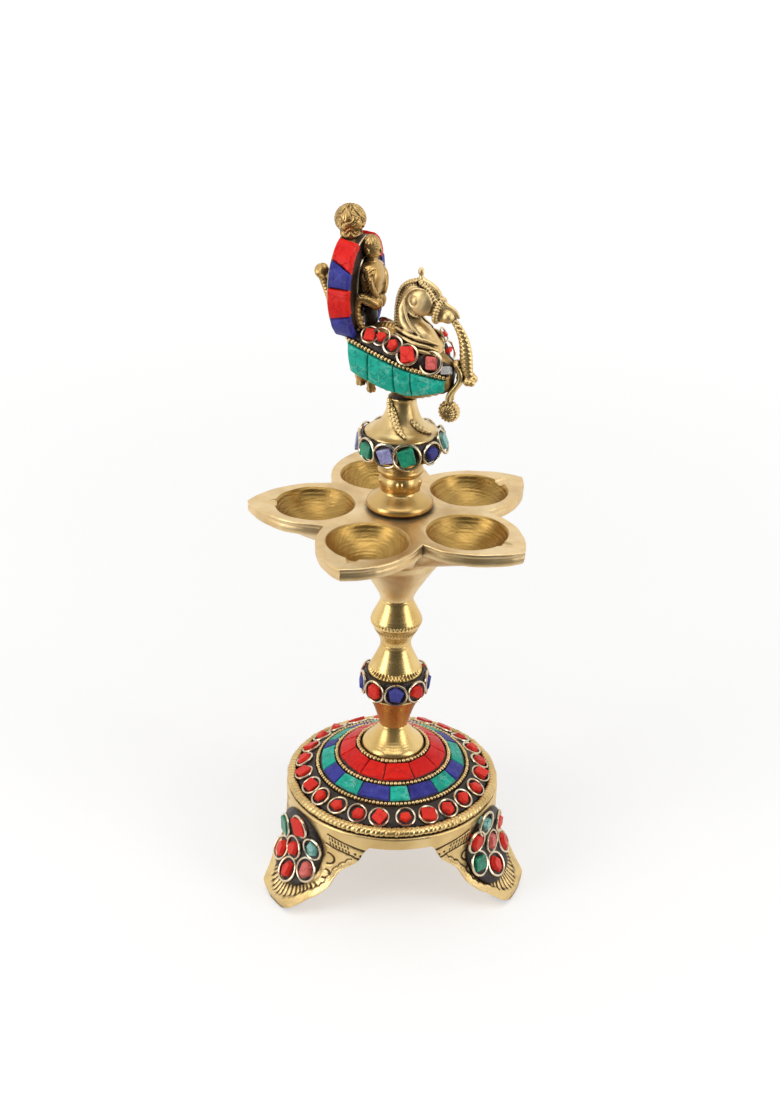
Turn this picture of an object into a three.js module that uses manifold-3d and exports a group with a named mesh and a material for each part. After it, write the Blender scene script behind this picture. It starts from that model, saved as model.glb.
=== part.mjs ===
// A brass oil-lamp stand (diya) with five cups and a peacock on top.
// Millimetres, +Z up. The origin is on the lamp's axis, at floor level.
// Legs stand at azimuths -15, 105 and 225 degrees, and the bird looks along -15 degrees.

import * as THREE from 'three';
import { mergeVertices } from 'three/addons/utils/BufferGeometryUtils.js';
import Module from 'manifold-3d';

const wasm = await Module();
wasm.setup();

// Clearances
const SEAT_GAP = 0.3;         // between a piece and the piece that it sits on
const SIDE_GAP = 0.3;         // between neighbouring stones, wires and lac
const FACET_ALLOWANCE = 0.35; // extra gap under a plate that lies on a flared wall

// Base casting
const ARCH_H = 28.4;          // floor to the crown of the arches
const DRUM_H = 4.0;           // drum wall above the arches
const DRUM_R = 34.5;          // outside of the drum wall
const WALL = 2.6;             // casting thickness
const RIM_W = 3.3;            // ledge for the rope round the dome
const DOME_STEP = 1.25;       // rise from the ledge to the dome
const DOME_SLOPE = 0.536;     // fall of the dome for each mm of radius
const BOSS_R = 10.4;          // flat seat for the stem
const BOSS_H = 6.8;           // boss under the seat, down to the washer
const BOSS_BOTTOM_R = 8.0;
const TOE_REACH = 11.4;       // how far a toe stands out past the drum
const FLARE_H = 22.0;         // the legs flare below this height
const FLARE_POWER = 1.9;
const TOE_DEPTH = 7.6;        // flat of each toe, measured towards the axis
const LEG_COUNT = 3;
const LEG_AZ = -15;           // azimuth of the first leg, degrees

// Rings on the dome
const BEAD_W = 1.4;
const BEAD_H = 1.9;
const CORAL_W = 5.0;
const STONE_W = 4.2;
const STONE_T = 1.6;
const BAND_T = 1.0;
const CORAL_COUNT = 11;
const STONE_PAIRS = 8;
const LAPIS_SHARE = 0.6;      // share of a pair's width that the lapis stone takes
const BASE_CELLS = 24;
const BASE_CHIP_SHARE = 0.607; // share of the dome band's width that its chips take
const ROPE_W = 2.6;
const ROPE_H = 2.6;

// Panels on the legs
const PANEL_HALF_W = 11.4;
const PANEL_HALF_H = 11.9;
const PANEL_Z = 19.0;
const PANEL_TURNS = [-3, 0, -1.6];   // each panel sits a little off the middle of its leg
const PANEL_T = 1.1;
const CHIP_T = 1.0;
const CHIP_W = 3.4;
const CHIP_WEB_T = 0.35;
const PANEL_PITCH = 8.3;
const PANEL_CHIP_W = 4.6;

// Tie rod, washer and nut
const ROD_R = 2.5;
const THREAD_PITCH = 0.8;
const THREAD_TURNS = 7;
const NUT_FLATS = 8.0;
const NUT_H = 4.0;
const WASHER_R = 6.5;
const WASHER_T = 1.0;
const ROD_TAIL = 2.0;         // rod below the nut

// Stem
const FOOT_H = 8.5;
const FOOT_R = 10.0;
const NECK_R = 4.6;
const BELL_H = 29.3;
const BELL_BAND_Z = 11.8;     // band seat above the bell's lower end
const BELL_BAND_H = 7.6;
const BELL_SEAT_R = 8.6;
const BELL_BAND_T = 2.2;
const BELL_CELLS = 9;
const KNOP_H = 15.8;
const KNOP_R = 8.0;
const KNOP_TOP_R = 5.3;

// Petal plate
const PLATE_H = 30.4;         // funnel and petals together
const EDGE_H = 3.9;           // height of the petals' edge
const TIP_R = 46.2;
const PETALS = 5;
const PLATE_AZ = 186.7;       // azimuth of the first petal tip, degrees
const CUP_CENTRE_R = 25.6;
const CUP_R = 12.1;
const CUP_DEPTH = 8.5;
const FUNNEL_R = 14.0;        // where the funnel meets the petals
const FUNNEL_H = 15.4;
const FUNNEL_WALL = 2.6;
const FUNNEL_ROOF = 6.0;      // brass left over the hollow of the funnel

// Finial foot, pedestal and collar
const FINIAL_FOOT_H = 13.9;
const FLANGE_R = 10.1;
const BARREL_R = 6.2;
const RING_R = 6.8;
const PEDESTAL_H = 21.2;
const COLLAR_SEAT_R = 11.0;
const COLLAR_SEAT_Z = 3.6;
const COLLAR_SEAT_H = 6.4;
const COLLAR_BAND_T = 1.8;
const COLLAR_CELLS = 11;
const PEDESTAL_NECK_R = 4.1;

// Bird, in its own frame: +X is where it looks, Z counts from the body's underside
const BIRD_AZ = -15;
const BODY_L = 32.6;
const BODY_BACK = 16.6;       // part of the length behind the lamp's axis
const BODY_HALF_W = 10.4;
const BODY_H = 20.3;
const WIRE_FALL = 0.28;       // fall of the wing's wire for each mm towards the breast
const WING_T = 1.8;
const WING_LOW = 0.8;         // half width at the tiles' lower edge, as a share of the wire's
const WIRE_R = 0.7;
const NECK_X = -2.0;          // back edge of the neck's foot
const NECK_W = 12.6;
const NECK_T = 6.4;
const NECK_BEVEL = 0.5;
const NECK_H = 15.3;          // neck and head over the back
const CELL_STRIP_T = 1.2;
const BACK_CELLS = 5;
const BACK_CHIP_L = 2.8;
const BEAK_L = 9.6;
const BEAK_TILT = 18;         // degrees that the beak points down
const BEAK_R = 1.6;           // near its tip
const GARLAND_R = 1.5;
const GARLAND_OUT = 3.8;      // how far it swings out past the breast
const GARLAND_LIFT = 1.0;     // its lower end, over the strap
const GARLAND_END_R = 2.0;
const SCROLL_R = 3.4;
const SCROLL_T = 3.6;
const STRAP_T = 3.2;
const STRAP_TOP = 0.374;      // share of the body's height
const TUFT_R = 1.7;

// Tail hoop
const HOOP_SET = 0.6;         // hoop's middle plane, ahead of the tail's end
const HOOP_DEPTH = 5.0;
const HOOP_HALF_W = 10.8;
const HOOP_HALF_H = 14.3;
const HOOP_BAND = 2.6;
const HOOP_SWEEP = 152;
const HOOP_TILE_T = 1.6;
const HOOP_TILE_EDGES = [24, 60, 80, 112, 139];
const CREST_R = 4.8;
const CREST_H = 9.0;
const CURL_BALL_R = 2.3;
const CURL_REACH = 8.4;
const CURL_RISE = 15.8;
const STALK_R = 1.4;
const FIGURE_H = 25.0;
const FIGURE_R = 3.6;

// Heights that follow
const RIM_Z = ARCH_H + DRUM_H;
const DOME_R = DRUM_R - RIM_W;
const domeZ = (r) => RIM_Z + DOME_STEP + DOME_SLOPE * (DOME_R - r);
const SEAT_Z = domeZ(BOSS_R);
const BOSS_BOTTOM_Z = SEAT_Z - BOSS_H;
const BORE_R = ROD_R + SIDE_GAP;
const FOOT_Z = SEAT_Z + SEAT_GAP;
const BELL_Z = FOOT_Z + FOOT_H + SEAT_GAP;
const KNOP_Z = BELL_Z + BELL_H + SEAT_GAP;
const PLATE_Z = KNOP_Z + KNOP_H + SEAT_GAP;
const PLATE_TOP = PLATE_Z + PLATE_H;
const FINIAL_Z = PLATE_TOP + SEAT_GAP;
const PEDESTAL_Z = FINIAL_Z + FINIAL_FOOT_H + SEAT_GAP;
const BIRD_Z = PEDESTAL_Z + PEDESTAL_H + SEAT_GAP;
const ROD_TOP = FINIAL_Z + THREAD_PITCH * THREAD_TURNS;

// Materials
const brass = new THREE.MeshStandardMaterial({ color: 0xc9a24f, roughness: 0.3, metalness: 1 });
const agedBrass = new THREE.MeshStandardMaterial({ color: 0xa78345, roughness: 0.42, metalness: 1 });
const lac = new THREE.MeshStandardMaterial({ color: 0x1c1411, roughness: 0.5, metalness: 0 });
const coral = new THREE.MeshStandardMaterial({ color: 0xe02a22, roughness: 0.45, metalness: 0 });
const lapis = new THREE.MeshStandardMaterial({ color: 0x2f318f, roughness: 0.45, metalness: 0 });
const turquoise = new THREE.MeshStandardMaterial({ color: 0x1fae90, roughness: 0.45, metalness: 0 });
const steel = new THREE.MeshStandardMaterial({ color: 0x8d9094, roughness: 0.4, metalness: 1 });

// Geometry helpers

const rad = THREE.MathUtils.degToRad;
const clamp = THREE.MathUtils.clamp;

function polar(azimuth, r, z) {
  return new THREE.Vector3(r * Math.cos(rad(azimuth)), r * Math.sin(rad(azimuth)), z);
}

// Straight-line interpolation in a short list of [x, y] pairs
function along(table, x) {
  if (x <= table[0][0]) return table[0][1];
  for (let i = 1; i < table.length; i += 1) {
    const [x0, y0] = table[i - 1];
    const [x1, y1] = table[i];
    if (x <= x1) return y0 + ((y1 - y0) * (x - x0)) / (x1 - x0);
  }
  return table[table.length - 1][1];
}

function signedVolume(geometry) {
  const p = geometry.attributes.position;
  const index = geometry.index.array;
  const [a, b, c] = [new THREE.Vector3(), new THREE.Vector3(), new THREE.Vector3()];
  let volume = 0;
  for (let i = 0; i < index.length; i += 3) {
    a.fromBufferAttribute(p, index[i]);
    b.fromBufferAttribute(p, index[i + 1]);
    c.fromBufferAttribute(p, index[i + 2]);
    volume += a.dot(b.cross(c)) / 6;
  }
  return volume;
}

// Keeps positions only, merges shared corners and turns the faces outward
function tidy(geometry) {
  geometry.deleteAttribute('normal');
  geometry.deleteAttribute('uv');
  const merged = mergeVertices(geometry, 1e-4);
  if (signedVolume(merged) < 0) {
    const index = merged.index.array;
    for (let i = 0; i < index.length; i += 3) {
      [index[i + 1], index[i + 2]] = [index[i + 2], index[i + 1]];
    }
  }
  merged.computeVertexNormals();
  return merged;
}

// A closed skin over rings of points that all have the same count. With loop, the last
// ring joins the first; otherwise each end is closed, by a fan round its middle where it
// has more than four corners.
function skin(rings, loop = false) {
  const count = rings[0].length;
  const points = rings.flat();
  const index = [];
  const rows = loop ? rings.length : rings.length - 1;
  for (let i = 0; i < rows; i += 1) {
    const here = i * count;
    const next = ((i + 1) % rings.length) * count;
    for (let j = 0; j < count; j += 1) {
      const k = (j + 1) % count;
      index.push(here + j, next + j, next + k, here + j, next + k, here + k);
    }
  }
  if (!loop) {
    const ends = [[0, true], [(rings.length - 1) * count, false]];
    for (const [start, first] of ends) {
      if (count === 4) {
        if (first) index.push(start, start + 1, start + 2, start, start + 2, start + 3);
        else index.push(start, start + 2, start + 1, start, start + 3, start + 2);
        continue;
      }
      const middle = new THREE.Vector3();
      for (let j = 0; j < count; j += 1) middle.addScaledVector(points[start + j], 1 / count);
      points.push(middle);
      const m = points.length - 1;
      for (let j = 0; j < count; j += 1) {
        const k = (j + 1) % count;
        if (first) index.push(m, start + j, start + k);
        else index.push(m, start + k, start + j);
      }
    }
  }
  const geometry = new THREE.BufferGeometry().setFromPoints(points);
  geometry.setIndex(index);
  return tidy(geometry);
}

// A turned piece from a closed profile of [r, z] pairs that stays off the axis
function turned(profile, segments = 20) {
  const points = [...profile, profile[0]].map(([r, z]) => new THREE.Vector2(r, z));
  return tidy(new THREE.LatheGeometry(points, segments).rotateX(Math.PI / 2));
}

// A turned piece from an open profile that starts and ends on the axis
function turnedSolid(profile, segments = 12) {
  const points = profile.map(([r, z]) => new THREE.Vector2(r, z));
  return tidy(new THREE.LatheGeometry(points, segments).rotateX(Math.PI / 2));
}

function bored(profile, bore) {
  const top = profile[profile.length - 1][1];
  return [...profile, [bore, top], [bore, profile[0][1]]];
}

function toManifold(geometry) {
  const g = tidy(geometry);
  return new wasm.Manifold(new wasm.Mesh({
    numProp: 3,
    vertProperties: new Float32Array(g.attributes.position.array),
    triVerts: new Uint32Array(g.index.array),
  }));
}

function fromManifold(manifold) {
  const m = manifold.getMesh();
  const geometry = new THREE.BufferGeometry();
  geometry.setAttribute('position', new THREE.BufferAttribute(m.vertProperties, 3));
  geometry.setIndex(new THREE.BufferAttribute(m.triVerts, 1));
  geometry.computeVertexNormals();
  return geometry;
}

function joined(first, ...others) {
  let result = toManifold(first);
  for (const g of others) result = result.add(toManifold(g));
  return fromManifold(result);
}

function cut(first, ...tools) {
  let result = toManifold(first);
  for (const g of tools) result = result.subtract(toManifold(g));
  return fromManifold(result);
}

// A round rod through a list of [x, y, z] points
function rod(points, radius, sides, steps) {
  const path = new THREE.CatmullRomCurve3(points.map((p) => new THREE.Vector3(...p)));
  const section = new THREE.Shape();
  for (let i = 0; i < sides; i += 1) {
    const a = (2 * Math.PI * i) / sides;
    const [x, y] = [radius * Math.cos(a), radius * Math.sin(a)];
    if (i === 0) section.moveTo(x, y);
    else section.lineTo(x, y);
  }
  return tidy(new THREE.ExtrudeGeometry(section, { extrudePath: path, steps }));
}

function ball(radius, x, y, z, stretch = 1) {
  const g = new THREE.SphereGeometry(radius, 10, 6);
  g.rotateX(Math.PI / 2);
  g.scale(1, 1, stretch);
  g.translate(x, y, z);
  return g;
}

// An extruded outline of [x, z] pairs, centred on the plane y = 0
function plateXZ(outline, thickness, bevel = 0) {
  const shape = new THREE.Shape(outline.map(([x, z]) => new THREE.Vector2(x, z)));
  const g = new THREE.ExtrudeGeometry(shape, {
    depth: thickness - 2 * bevel,
    bevelEnabled: bevel > 0,
    bevelSize: bevel,
    bevelThickness: bevel,
    bevelOffset: -bevel,
    bevelSegments: 1,
    steps: 1,
  });
  g.rotateX(Math.PI / 2);
  g.translate(0, (thickness - 2 * bevel) / 2, 0);
  return g;
}

// The group and its meshes

const lamp = new THREE.Group();
const plateGroup = new THREE.Group();
plateGroup.rotation.z = rad(PLATE_AZ);
const birdGroup = new THREE.Group();
birdGroup.rotation.z = rad(BIRD_AZ);
birdGroup.position.z = BIRD_Z;
lamp.add(plateGroup, birdGroup);

function add(name, geometry, material, parent = lamp) {
  const mesh = new THREE.Mesh(geometry, material);
  mesh.name = name;
  parent.add(mesh);
}

// Base casting: a drum whose lower edge falls from each arch, in three scallops, to a
// flared toe

const LEG_EDGE = [
  [0, 0], [4.2, 0], [8, 0.06], [12.7, 0.16], [15.8, 0.235], [19.5, 0.3], [23, 0.39],
  [24.2, 0.47], [27, 0.59], [31, 0.665], [36.6, 0.76], [38.5, 0.82], [40.2, 0.91], [43.5, 1],
  [180 / LEG_COUNT, 1],
];

function legR(z) {
  const t = clamp((FLARE_H - z) / FLARE_H, 0, 1);
  return DRUM_R + TOE_REACH * t ** FLARE_POWER;
}

function edgeZ(offset) {
  return ARCH_H * along(LEG_EDGE, Math.abs(offset));
}

function baseColumns() {
  const half = LEG_EDGE.slice(1, -1).map(([a]) => a);
  const pitch = 360 / LEG_COUNT;
  const offsets = [...half.map((a) => -a).reverse(), 0, ...half, pitch / 2];
  const columns = [];
  for (let leg = 0; leg < LEG_COUNT; leg += 1) {
    for (const offset of offsets) columns.push([LEG_AZ + leg * pitch + offset, offset]);
  }
  return columns;
}

function baseCasting() {
  const columns = baseColumns();
  const wallTop = RIM_Z - 1.9;
  const shares = [0, 0.35, 0.55, 0.72, 0.87, 1];
  const innerShares = [1, 0.8, 0.5, 0];
  const innerR = (z) => Math.min(legR(z) - WALL, legR(0) - TOE_DEPTH);
  const fixed = (r, z) => columns.map(([az]) => polar(az, r, z));
  const rings = [
    fixed(BORE_R, SEAT_Z),
    fixed(BOSS_R, SEAT_Z),
    fixed(DOME_R, domeZ(DOME_R)),
    fixed(DOME_R, RIM_Z),
    fixed(DRUM_R - 0.6, RIM_Z),
  ];
  for (const share of shares) {
    rings.push(columns.map(([az, offset]) => {
      const z = wallTop + (edgeZ(offset) - wallTop) * share;
      return polar(az, legR(z), z);
    }));
  }
  for (const share of innerShares) {
    rings.push(columns.map(([az, offset]) => {
      const z = wallTop + (edgeZ(offset) - wallTop) * share;
      return polar(az, innerR(z), z);
    }));
  }
  rings.push(
    fixed(BOSS_BOTTOM_R + 2, domeZ(BOSS_BOTTOM_R + 2) - WALL - 0.6),
    fixed(BOSS_BOTTOM_R, BOSS_BOTTOM_Z),
    fixed(BORE_R, BOSS_BOTTOM_Z),
  );
  return skin(rings, true);
}

// Rings that lie on the dome

const beadInR = BOSS_R + 0.1;
const coralR = beadInR + BEAD_W + SIDE_GAP;
const beadMidR = coralR + CORAL_W + SIDE_GAP;
const stoneR = beadMidR + BEAD_W + SIDE_GAP;
const beadOutR = stoneR + STONE_W + SIDE_GAP;
const bandR = beadOutR + BEAD_W + SIDE_GAP;
const bandOutR = DOME_R - 0.2;

function domeRing(r0, r1, thickness, segments = 30) {
  const low = SEAT_GAP;
  return turned([
    [r0, domeZ(r0) + low],
    [r1, domeZ(r1) + low],
    [r1, domeZ(r1) + low + thickness],
    [r0, domeZ(r0) + low + thickness],
  ], segments);
}

// A ring whose section changes round the dome: each column gives its azimuth, its inner
// and outer radius, and its lower and upper height over the dome
function steppedRing(columns, surface = domeZ) {
  const corner = (c, r, h) => polar(c.az, r, surface(r) + h);
  const rings = columns.map((c) => [
    corner(c, c.r0, c.low),
    corner(c, c.r1, c.low),
    corner(c, c.r1, c.high),
    corner(c, c.r0, c.high),
  ]);
  return skin(rings, true);
}

function coralTiles() {
  const columns = [];
  const pitch = 360 / CORAL_COUNT;
  const groove = 1.2;
  const [r0, r1, low] = [coralR, coralR + CORAL_W, SEAT_GAP];
  for (let i = 0; i < CORAL_COUNT; i += 1) {
    const az = i * pitch;
    for (const a of [groove / 2, pitch / 2, pitch - groove / 2]) {
      columns.push({ az: az + a, r0, r1, low, high: low + STONE_T });
    }
    columns.push({ az: az + pitch, r0, r1, low, high: low + STONE_T * 0.6 });
  }
  return steppedRing(columns);
}

// Lapis and turquoise stones alternate. Each colour is one comb: its stones hang together
// by a thin strip, the lapis strip along the inner edge and the turquoise one outside.
function stoneComb(startShare, endShare, inner) {
  const columns = [];
  const pitch = 360 / STONE_PAIRS;
  const strip = 0.5;
  const low = SEAT_GAP;
  const r0 = stoneR + (inner ? 0 : strip + SIDE_GAP);
  const r1 = stoneR + STONE_W - (inner ? strip + SIDE_GAP : 0);
  const web = inner ? [r0, r0 + strip] : [r1 - strip, r1];
  const gap = THREE.MathUtils.radToDeg(SIDE_GAP / stoneR) / 2;
  for (let i = 0; i < STONE_PAIRS; i += 1) {
    const from = (i + startShare) * pitch + gap;
    const to = (i + endShare) * pitch - gap;
    for (const az of [from, (from + to) / 2, to]) {
      columns.push({ az, r0, r1, low, high: low + STONE_T });
    }
    const next = (i + 1 + startShare) * pitch + gap;
    for (const az of [to + 0.2, (to + next) / 2, next - 0.2]) {
      columns.push({ az, r0: web[0], r1: web[1], low, high: low + 0.5 });
    }
  }
  return steppedRing(columns);
}

// Chips of a band, one beside the other, joined by a thin strip
function chipColumns(count, r0, r1, low, chipDegrees) {
  const columns = [];
  const middle = (r0 + r1) / 2;
  const pitch = 360 / count;
  for (let i = 0; i < count; i += 1) {
    const az = i * pitch;
    const half = chipDegrees / 2;
    for (const a of [-half, half]) {
      columns.push({ az: az + a, r0, r1, low, high: low + CHIP_T });
    }
    for (const a of [half + 0.4, pitch - half - 0.4]) {
      columns.push({
        az: az + a, r0: middle - 0.4, r1: middle + 0.4, low, high: low + CHIP_WEB_T,
      });
    }
  }
  return columns;
}

function baseChips() {
  const low = SEAT_GAP + BAND_T + SEAT_GAP;
  const middle = (bandR + bandOutR) / 2;
  const half = (BASE_CHIP_SHARE * (bandOutR - bandR)) / 2;
  const degrees = THREE.MathUtils.radToDeg(CHIP_W / middle);
  return steppedRing(chipColumns(BASE_CELLS, middle - half, middle + half, low, degrees));
}

function rope() {
  const r0 = DOME_R + SIDE_GAP;
  const r1 = r0 + ROPE_W;
  const z0 = RIM_Z + SEAT_GAP;
  const z1 = z0 + ROPE_H;
  const c = ROPE_W * 0.28;
  const middle = (z0 + z1) / 2;
  return turned([
    [r0 + c, z0], [r1 - c, z0], [r1, middle], [r1 - c, z1], [r0 + c, z1], [r0, middle],
  ], 36);
}

// Oval panels on the legs, and the chips on them

function legPoint(azimuth, arc, z, out) {
  const r = legR(z);
  return polar(azimuth + THREE.MathUtils.radToDeg(arc / r), r + out, z);
}

function legPanel(azimuth) {
  const around = 16;
  const low = SEAT_GAP + FACET_ALLOWANCE;
  const ring = (share, out) => Array.from({ length: around }, (_, i) => {
    const a = (2 * Math.PI * i) / around;
    return legPoint(
      azimuth, share * PANEL_HALF_W * Math.cos(a), PANEL_Z + share * PANEL_HALF_H * Math.sin(a), out,
    );
  });
  return skin([
    ring(0.08, low), ring(0.5, low), ring(1, low),
    ring(1, low + PANEL_T), ring(0.5, low + PANEL_T), ring(0.08, low + PANEL_T),
  ]);
}

// Seven chips: one in the middle and six round it, one of them straight above
function legChips(azimuth) {
  const low = SEAT_GAP + FACET_ALLOWANCE + PANEL_T + SEAT_GAP;
  const half = PANEL_CHIP_W / 2;
  const step = PANEL_PITCH * 0.87;
  const block = (arc, dz, halfArc, halfZ, height) => {
    const z = PANEL_Z + dz;
    const side = (out) => [
      legPoint(azimuth, arc - halfArc, z - halfZ, out),
      legPoint(azimuth, arc + halfArc, z - halfZ, out),
      legPoint(azimuth, arc + halfArc, z + halfZ, out),
      legPoint(azimuth, arc - halfArc, z + halfZ, out),
    ];
    return skin([side(low), side(low + height)]);
  };
  const columns = [[-step, 2], [0, 3], [step, 2]];
  const parts = [];
  for (const [arc, count] of columns) {
    const height = (count - 1) * PANEL_PITCH;
    for (let i = 0; i < count; i += 1) {
      const dz = i * PANEL_PITCH - height / 2;
      parts.push(block(arc, dz, half, half, CHIP_T));
      if (i > 0) parts.push(block(arc, dz - PANEL_PITCH / 2, 0.4, PANEL_PITCH / 2, CHIP_WEB_T));
    }
  }
  for (const arc of [-step / 2, step / 2]) {
    parts.push(block(arc, PANEL_PITCH / 2, step / 2 + 0.2, 0.4, CHIP_WEB_T));
  }
  return joined(...parts);
}

// Base nodes

add('base_casting', baseCasting(), brass);
add('rope_rim', rope(), agedBrass);
add('bead_ring_inner', domeRing(beadInR, beadInR + BEAD_W, BEAD_H), agedBrass);
add('bead_ring_middle', domeRing(beadMidR, beadMidR + BEAD_W, BEAD_H), agedBrass);
add('bead_ring_outer', domeRing(beadOutR, beadOutR + BEAD_W, BEAD_H), agedBrass);
add('coral_tile_ring', coralTiles(), coral);
add('lapis_tiles', stoneComb(0, LAPIS_SHARE, true), lapis);
add('turquoise_tiles', stoneComb(LAPIS_SHARE, 1, false), turquoise);
add('base_cell_band', domeRing(bandR, bandOutR, BAND_T), lac);
add('base_cell_chips', baseChips(), coral);
for (let leg = 0; leg < LEG_COUNT; leg += 1) {
  const azimuth = LEG_AZ + (360 / LEG_COUNT) * leg + PANEL_TURNS[leg];
  add(`leg_panel_${leg + 1}`, legPanel(azimuth), lac);
  add(`leg_chips_${leg + 1}`, legChips(azimuth), coral);
}

// Tie rod, washer and nut under the dome

const WASHER_TOP = BOSS_BOTTOM_Z - SEAT_GAP;
const NUT_TOP = WASHER_TOP - WASHER_T - SEAT_GAP;
const ROD_BOTTOM = NUT_TOP - NUT_H - ROD_TAIL;

function hexNut() {
  const r = NUT_FLATS / Math.sqrt(3);
  const bore = BORE_R / Math.cos(Math.PI / 6);
  return turned([
    [bore, NUT_TOP - NUT_H], [r, NUT_TOP - NUT_H], [r, NUT_TOP], [bore, NUT_TOP],
  ], 6);
}

add('tie_rod', turnedSolid([
  [0, ROD_BOTTOM], [ROD_R, ROD_BOTTOM], [ROD_R, ROD_TOP], [0, ROD_TOP],
]), steel);
add('base_washer', turned([
  [BORE_R, WASHER_TOP - WASHER_T], [WASHER_R, WASHER_TOP - WASHER_T],
  [WASHER_R, WASHER_TOP], [BORE_R, WASHER_TOP],
]), steel);
add('base_nut', hexNut(), steel);

// Stem: foot cone, bell with its band of cells, and knop

function raise(profile, z) {
  return profile.map(([r, h]) => [r, h + z]);
}

add('stem_foot', turned(bored(raise([
  [FOOT_R, 0], [FOOT_R, 1.5], [FOOT_R - 1.1, 2.5], [NECK_R + 2, FOOT_H - 3.2],
  [NECK_R + 0.3, FOOT_H - 1], [NECK_R, FOOT_H],
], FOOT_Z), BORE_R)), brass);

const BELL_BAND_TOP = BELL_BAND_Z + BELL_BAND_H;
add('stem_bell', turned(bored(raise([
  [NECK_R, 0], [NECK_R + 0.7, 2.2], [NECK_R + 2.0, BELL_BAND_Z - 5.4], [BELL_SEAT_R, BELL_BAND_Z - 1],
  [BELL_SEAT_R, BELL_BAND_TOP], [BELL_SEAT_R - 0.6, BELL_BAND_TOP + 1.6],
  [NECK_R + 1.1, BELL_BAND_TOP + 6.2], [NECK_R, BELL_H - 1.2], [NECK_R, BELL_H],
], BELL_Z), BORE_R)), brass);

// A band of lac and wire cells round a turned seat
function cellBand(seatR, z, height, thickness, segments) {
  const r0 = seatR + SIDE_GAP;
  const r1 = r0 + thickness;
  const c = Math.min(0.8, thickness / 2);
  return turned([
    [r0, z], [r1 - c, z], [r1, z + height * 0.25], [r1, z + height * 0.75],
    [r1 - c, z + height], [r0, z + height],
  ], segments);
}

// Chips round such a band, joined by a thin strip
function bandChips(count, seatR, z, height, thickness) {
  const r = seatR + SIDE_GAP + thickness + SEAT_GAP;
  const middle = z + height / 2;
  const pitch = 360 / count;
  const half = THREE.MathUtils.radToDeg(CHIP_W / r) / 2;
  const section = (az, halfZ, t) => {
    const scale = 1 / Math.cos(rad(Math.min(half, pitch / 2)));
    return [
      polar(az, r * scale, middle - halfZ), polar(az, (r + t) * scale, middle - halfZ),
      polar(az, (r + t) * scale, middle + halfZ), polar(az, r * scale, middle + halfZ),
    ];
  };
  const rings = [];
  for (let i = 0; i < count; i += 1) {
    const az = i * pitch;
    rings.push(section(az - half, CHIP_W / 2, CHIP_T), section(az + half, CHIP_W / 2, CHIP_T));
    rings.push(section(az + half + 1, 0.4, CHIP_WEB_T), section(az + pitch / 2, 0.4, CHIP_WEB_T));
    rings.push(section(az + pitch - half - 1, 0.4, CHIP_WEB_T));
  }
  return skin(rings, true);
}

add('stem_cell_band', cellBand(
  BELL_SEAT_R, BELL_Z + BELL_BAND_Z, BELL_BAND_H, BELL_BAND_T - CHIP_T, 24,
), lac);
add('stem_chips', bandChips(
  BELL_CELLS, BELL_SEAT_R, BELL_Z + BELL_BAND_Z, BELL_BAND_H, BELL_BAND_T - CHIP_T,
), coral);

add('stem_knop', turned(bored(raise([
  [NECK_R, 0], [NECK_R + 0.8, 2.5], [KNOP_R - 0.4, 6.9], [KNOP_R, 7.7], [KNOP_R, 8.7],
  [KNOP_R - 0.6, 9.7], [KNOP_TOP_R + 0.5, KNOP_H - 2.3], [KNOP_TOP_R, KNOP_H],
], KNOP_Z), BORE_R)), brass);

// Petal plate: outline and underside in polar form, then the cups and the funnel's hollow

const OUTLINE = [
  [0, 1], [4, 0.968], [12, 0.888], [20, 0.792], [28, 0.684], [180 / PETALS, 0.576],
];
const UNDER_TIP = [[0, 0], [0.1, 0.35], [0.36, 0.44], [0.65, 0.68], [0.9, 0.94], [1, 1]];
const UNDER_NOTCH = [[0, 0], [0.4, 0.42], [0.76, 0.88], [1, 1]];

function plateRing(r, z) {
  return plateColumns().map((offset) => (typeof r === 'function'
    ? r(offset) : polar(offset.az, r, z)));
}

function plateColumns() {
  const half = OUTLINE.slice(1, -1).map(([a]) => a);
  const pitch = 360 / PETALS;
  const offsets = [...half.map((a) => -a).reverse(), 0, ...half, pitch / 2];
  const columns = [];
  for (let i = 0; i < PETALS; i += 1) {
    for (const offset of offsets) columns.push({ az: i * pitch + offset, offset });
  }
  return columns;
}

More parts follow.
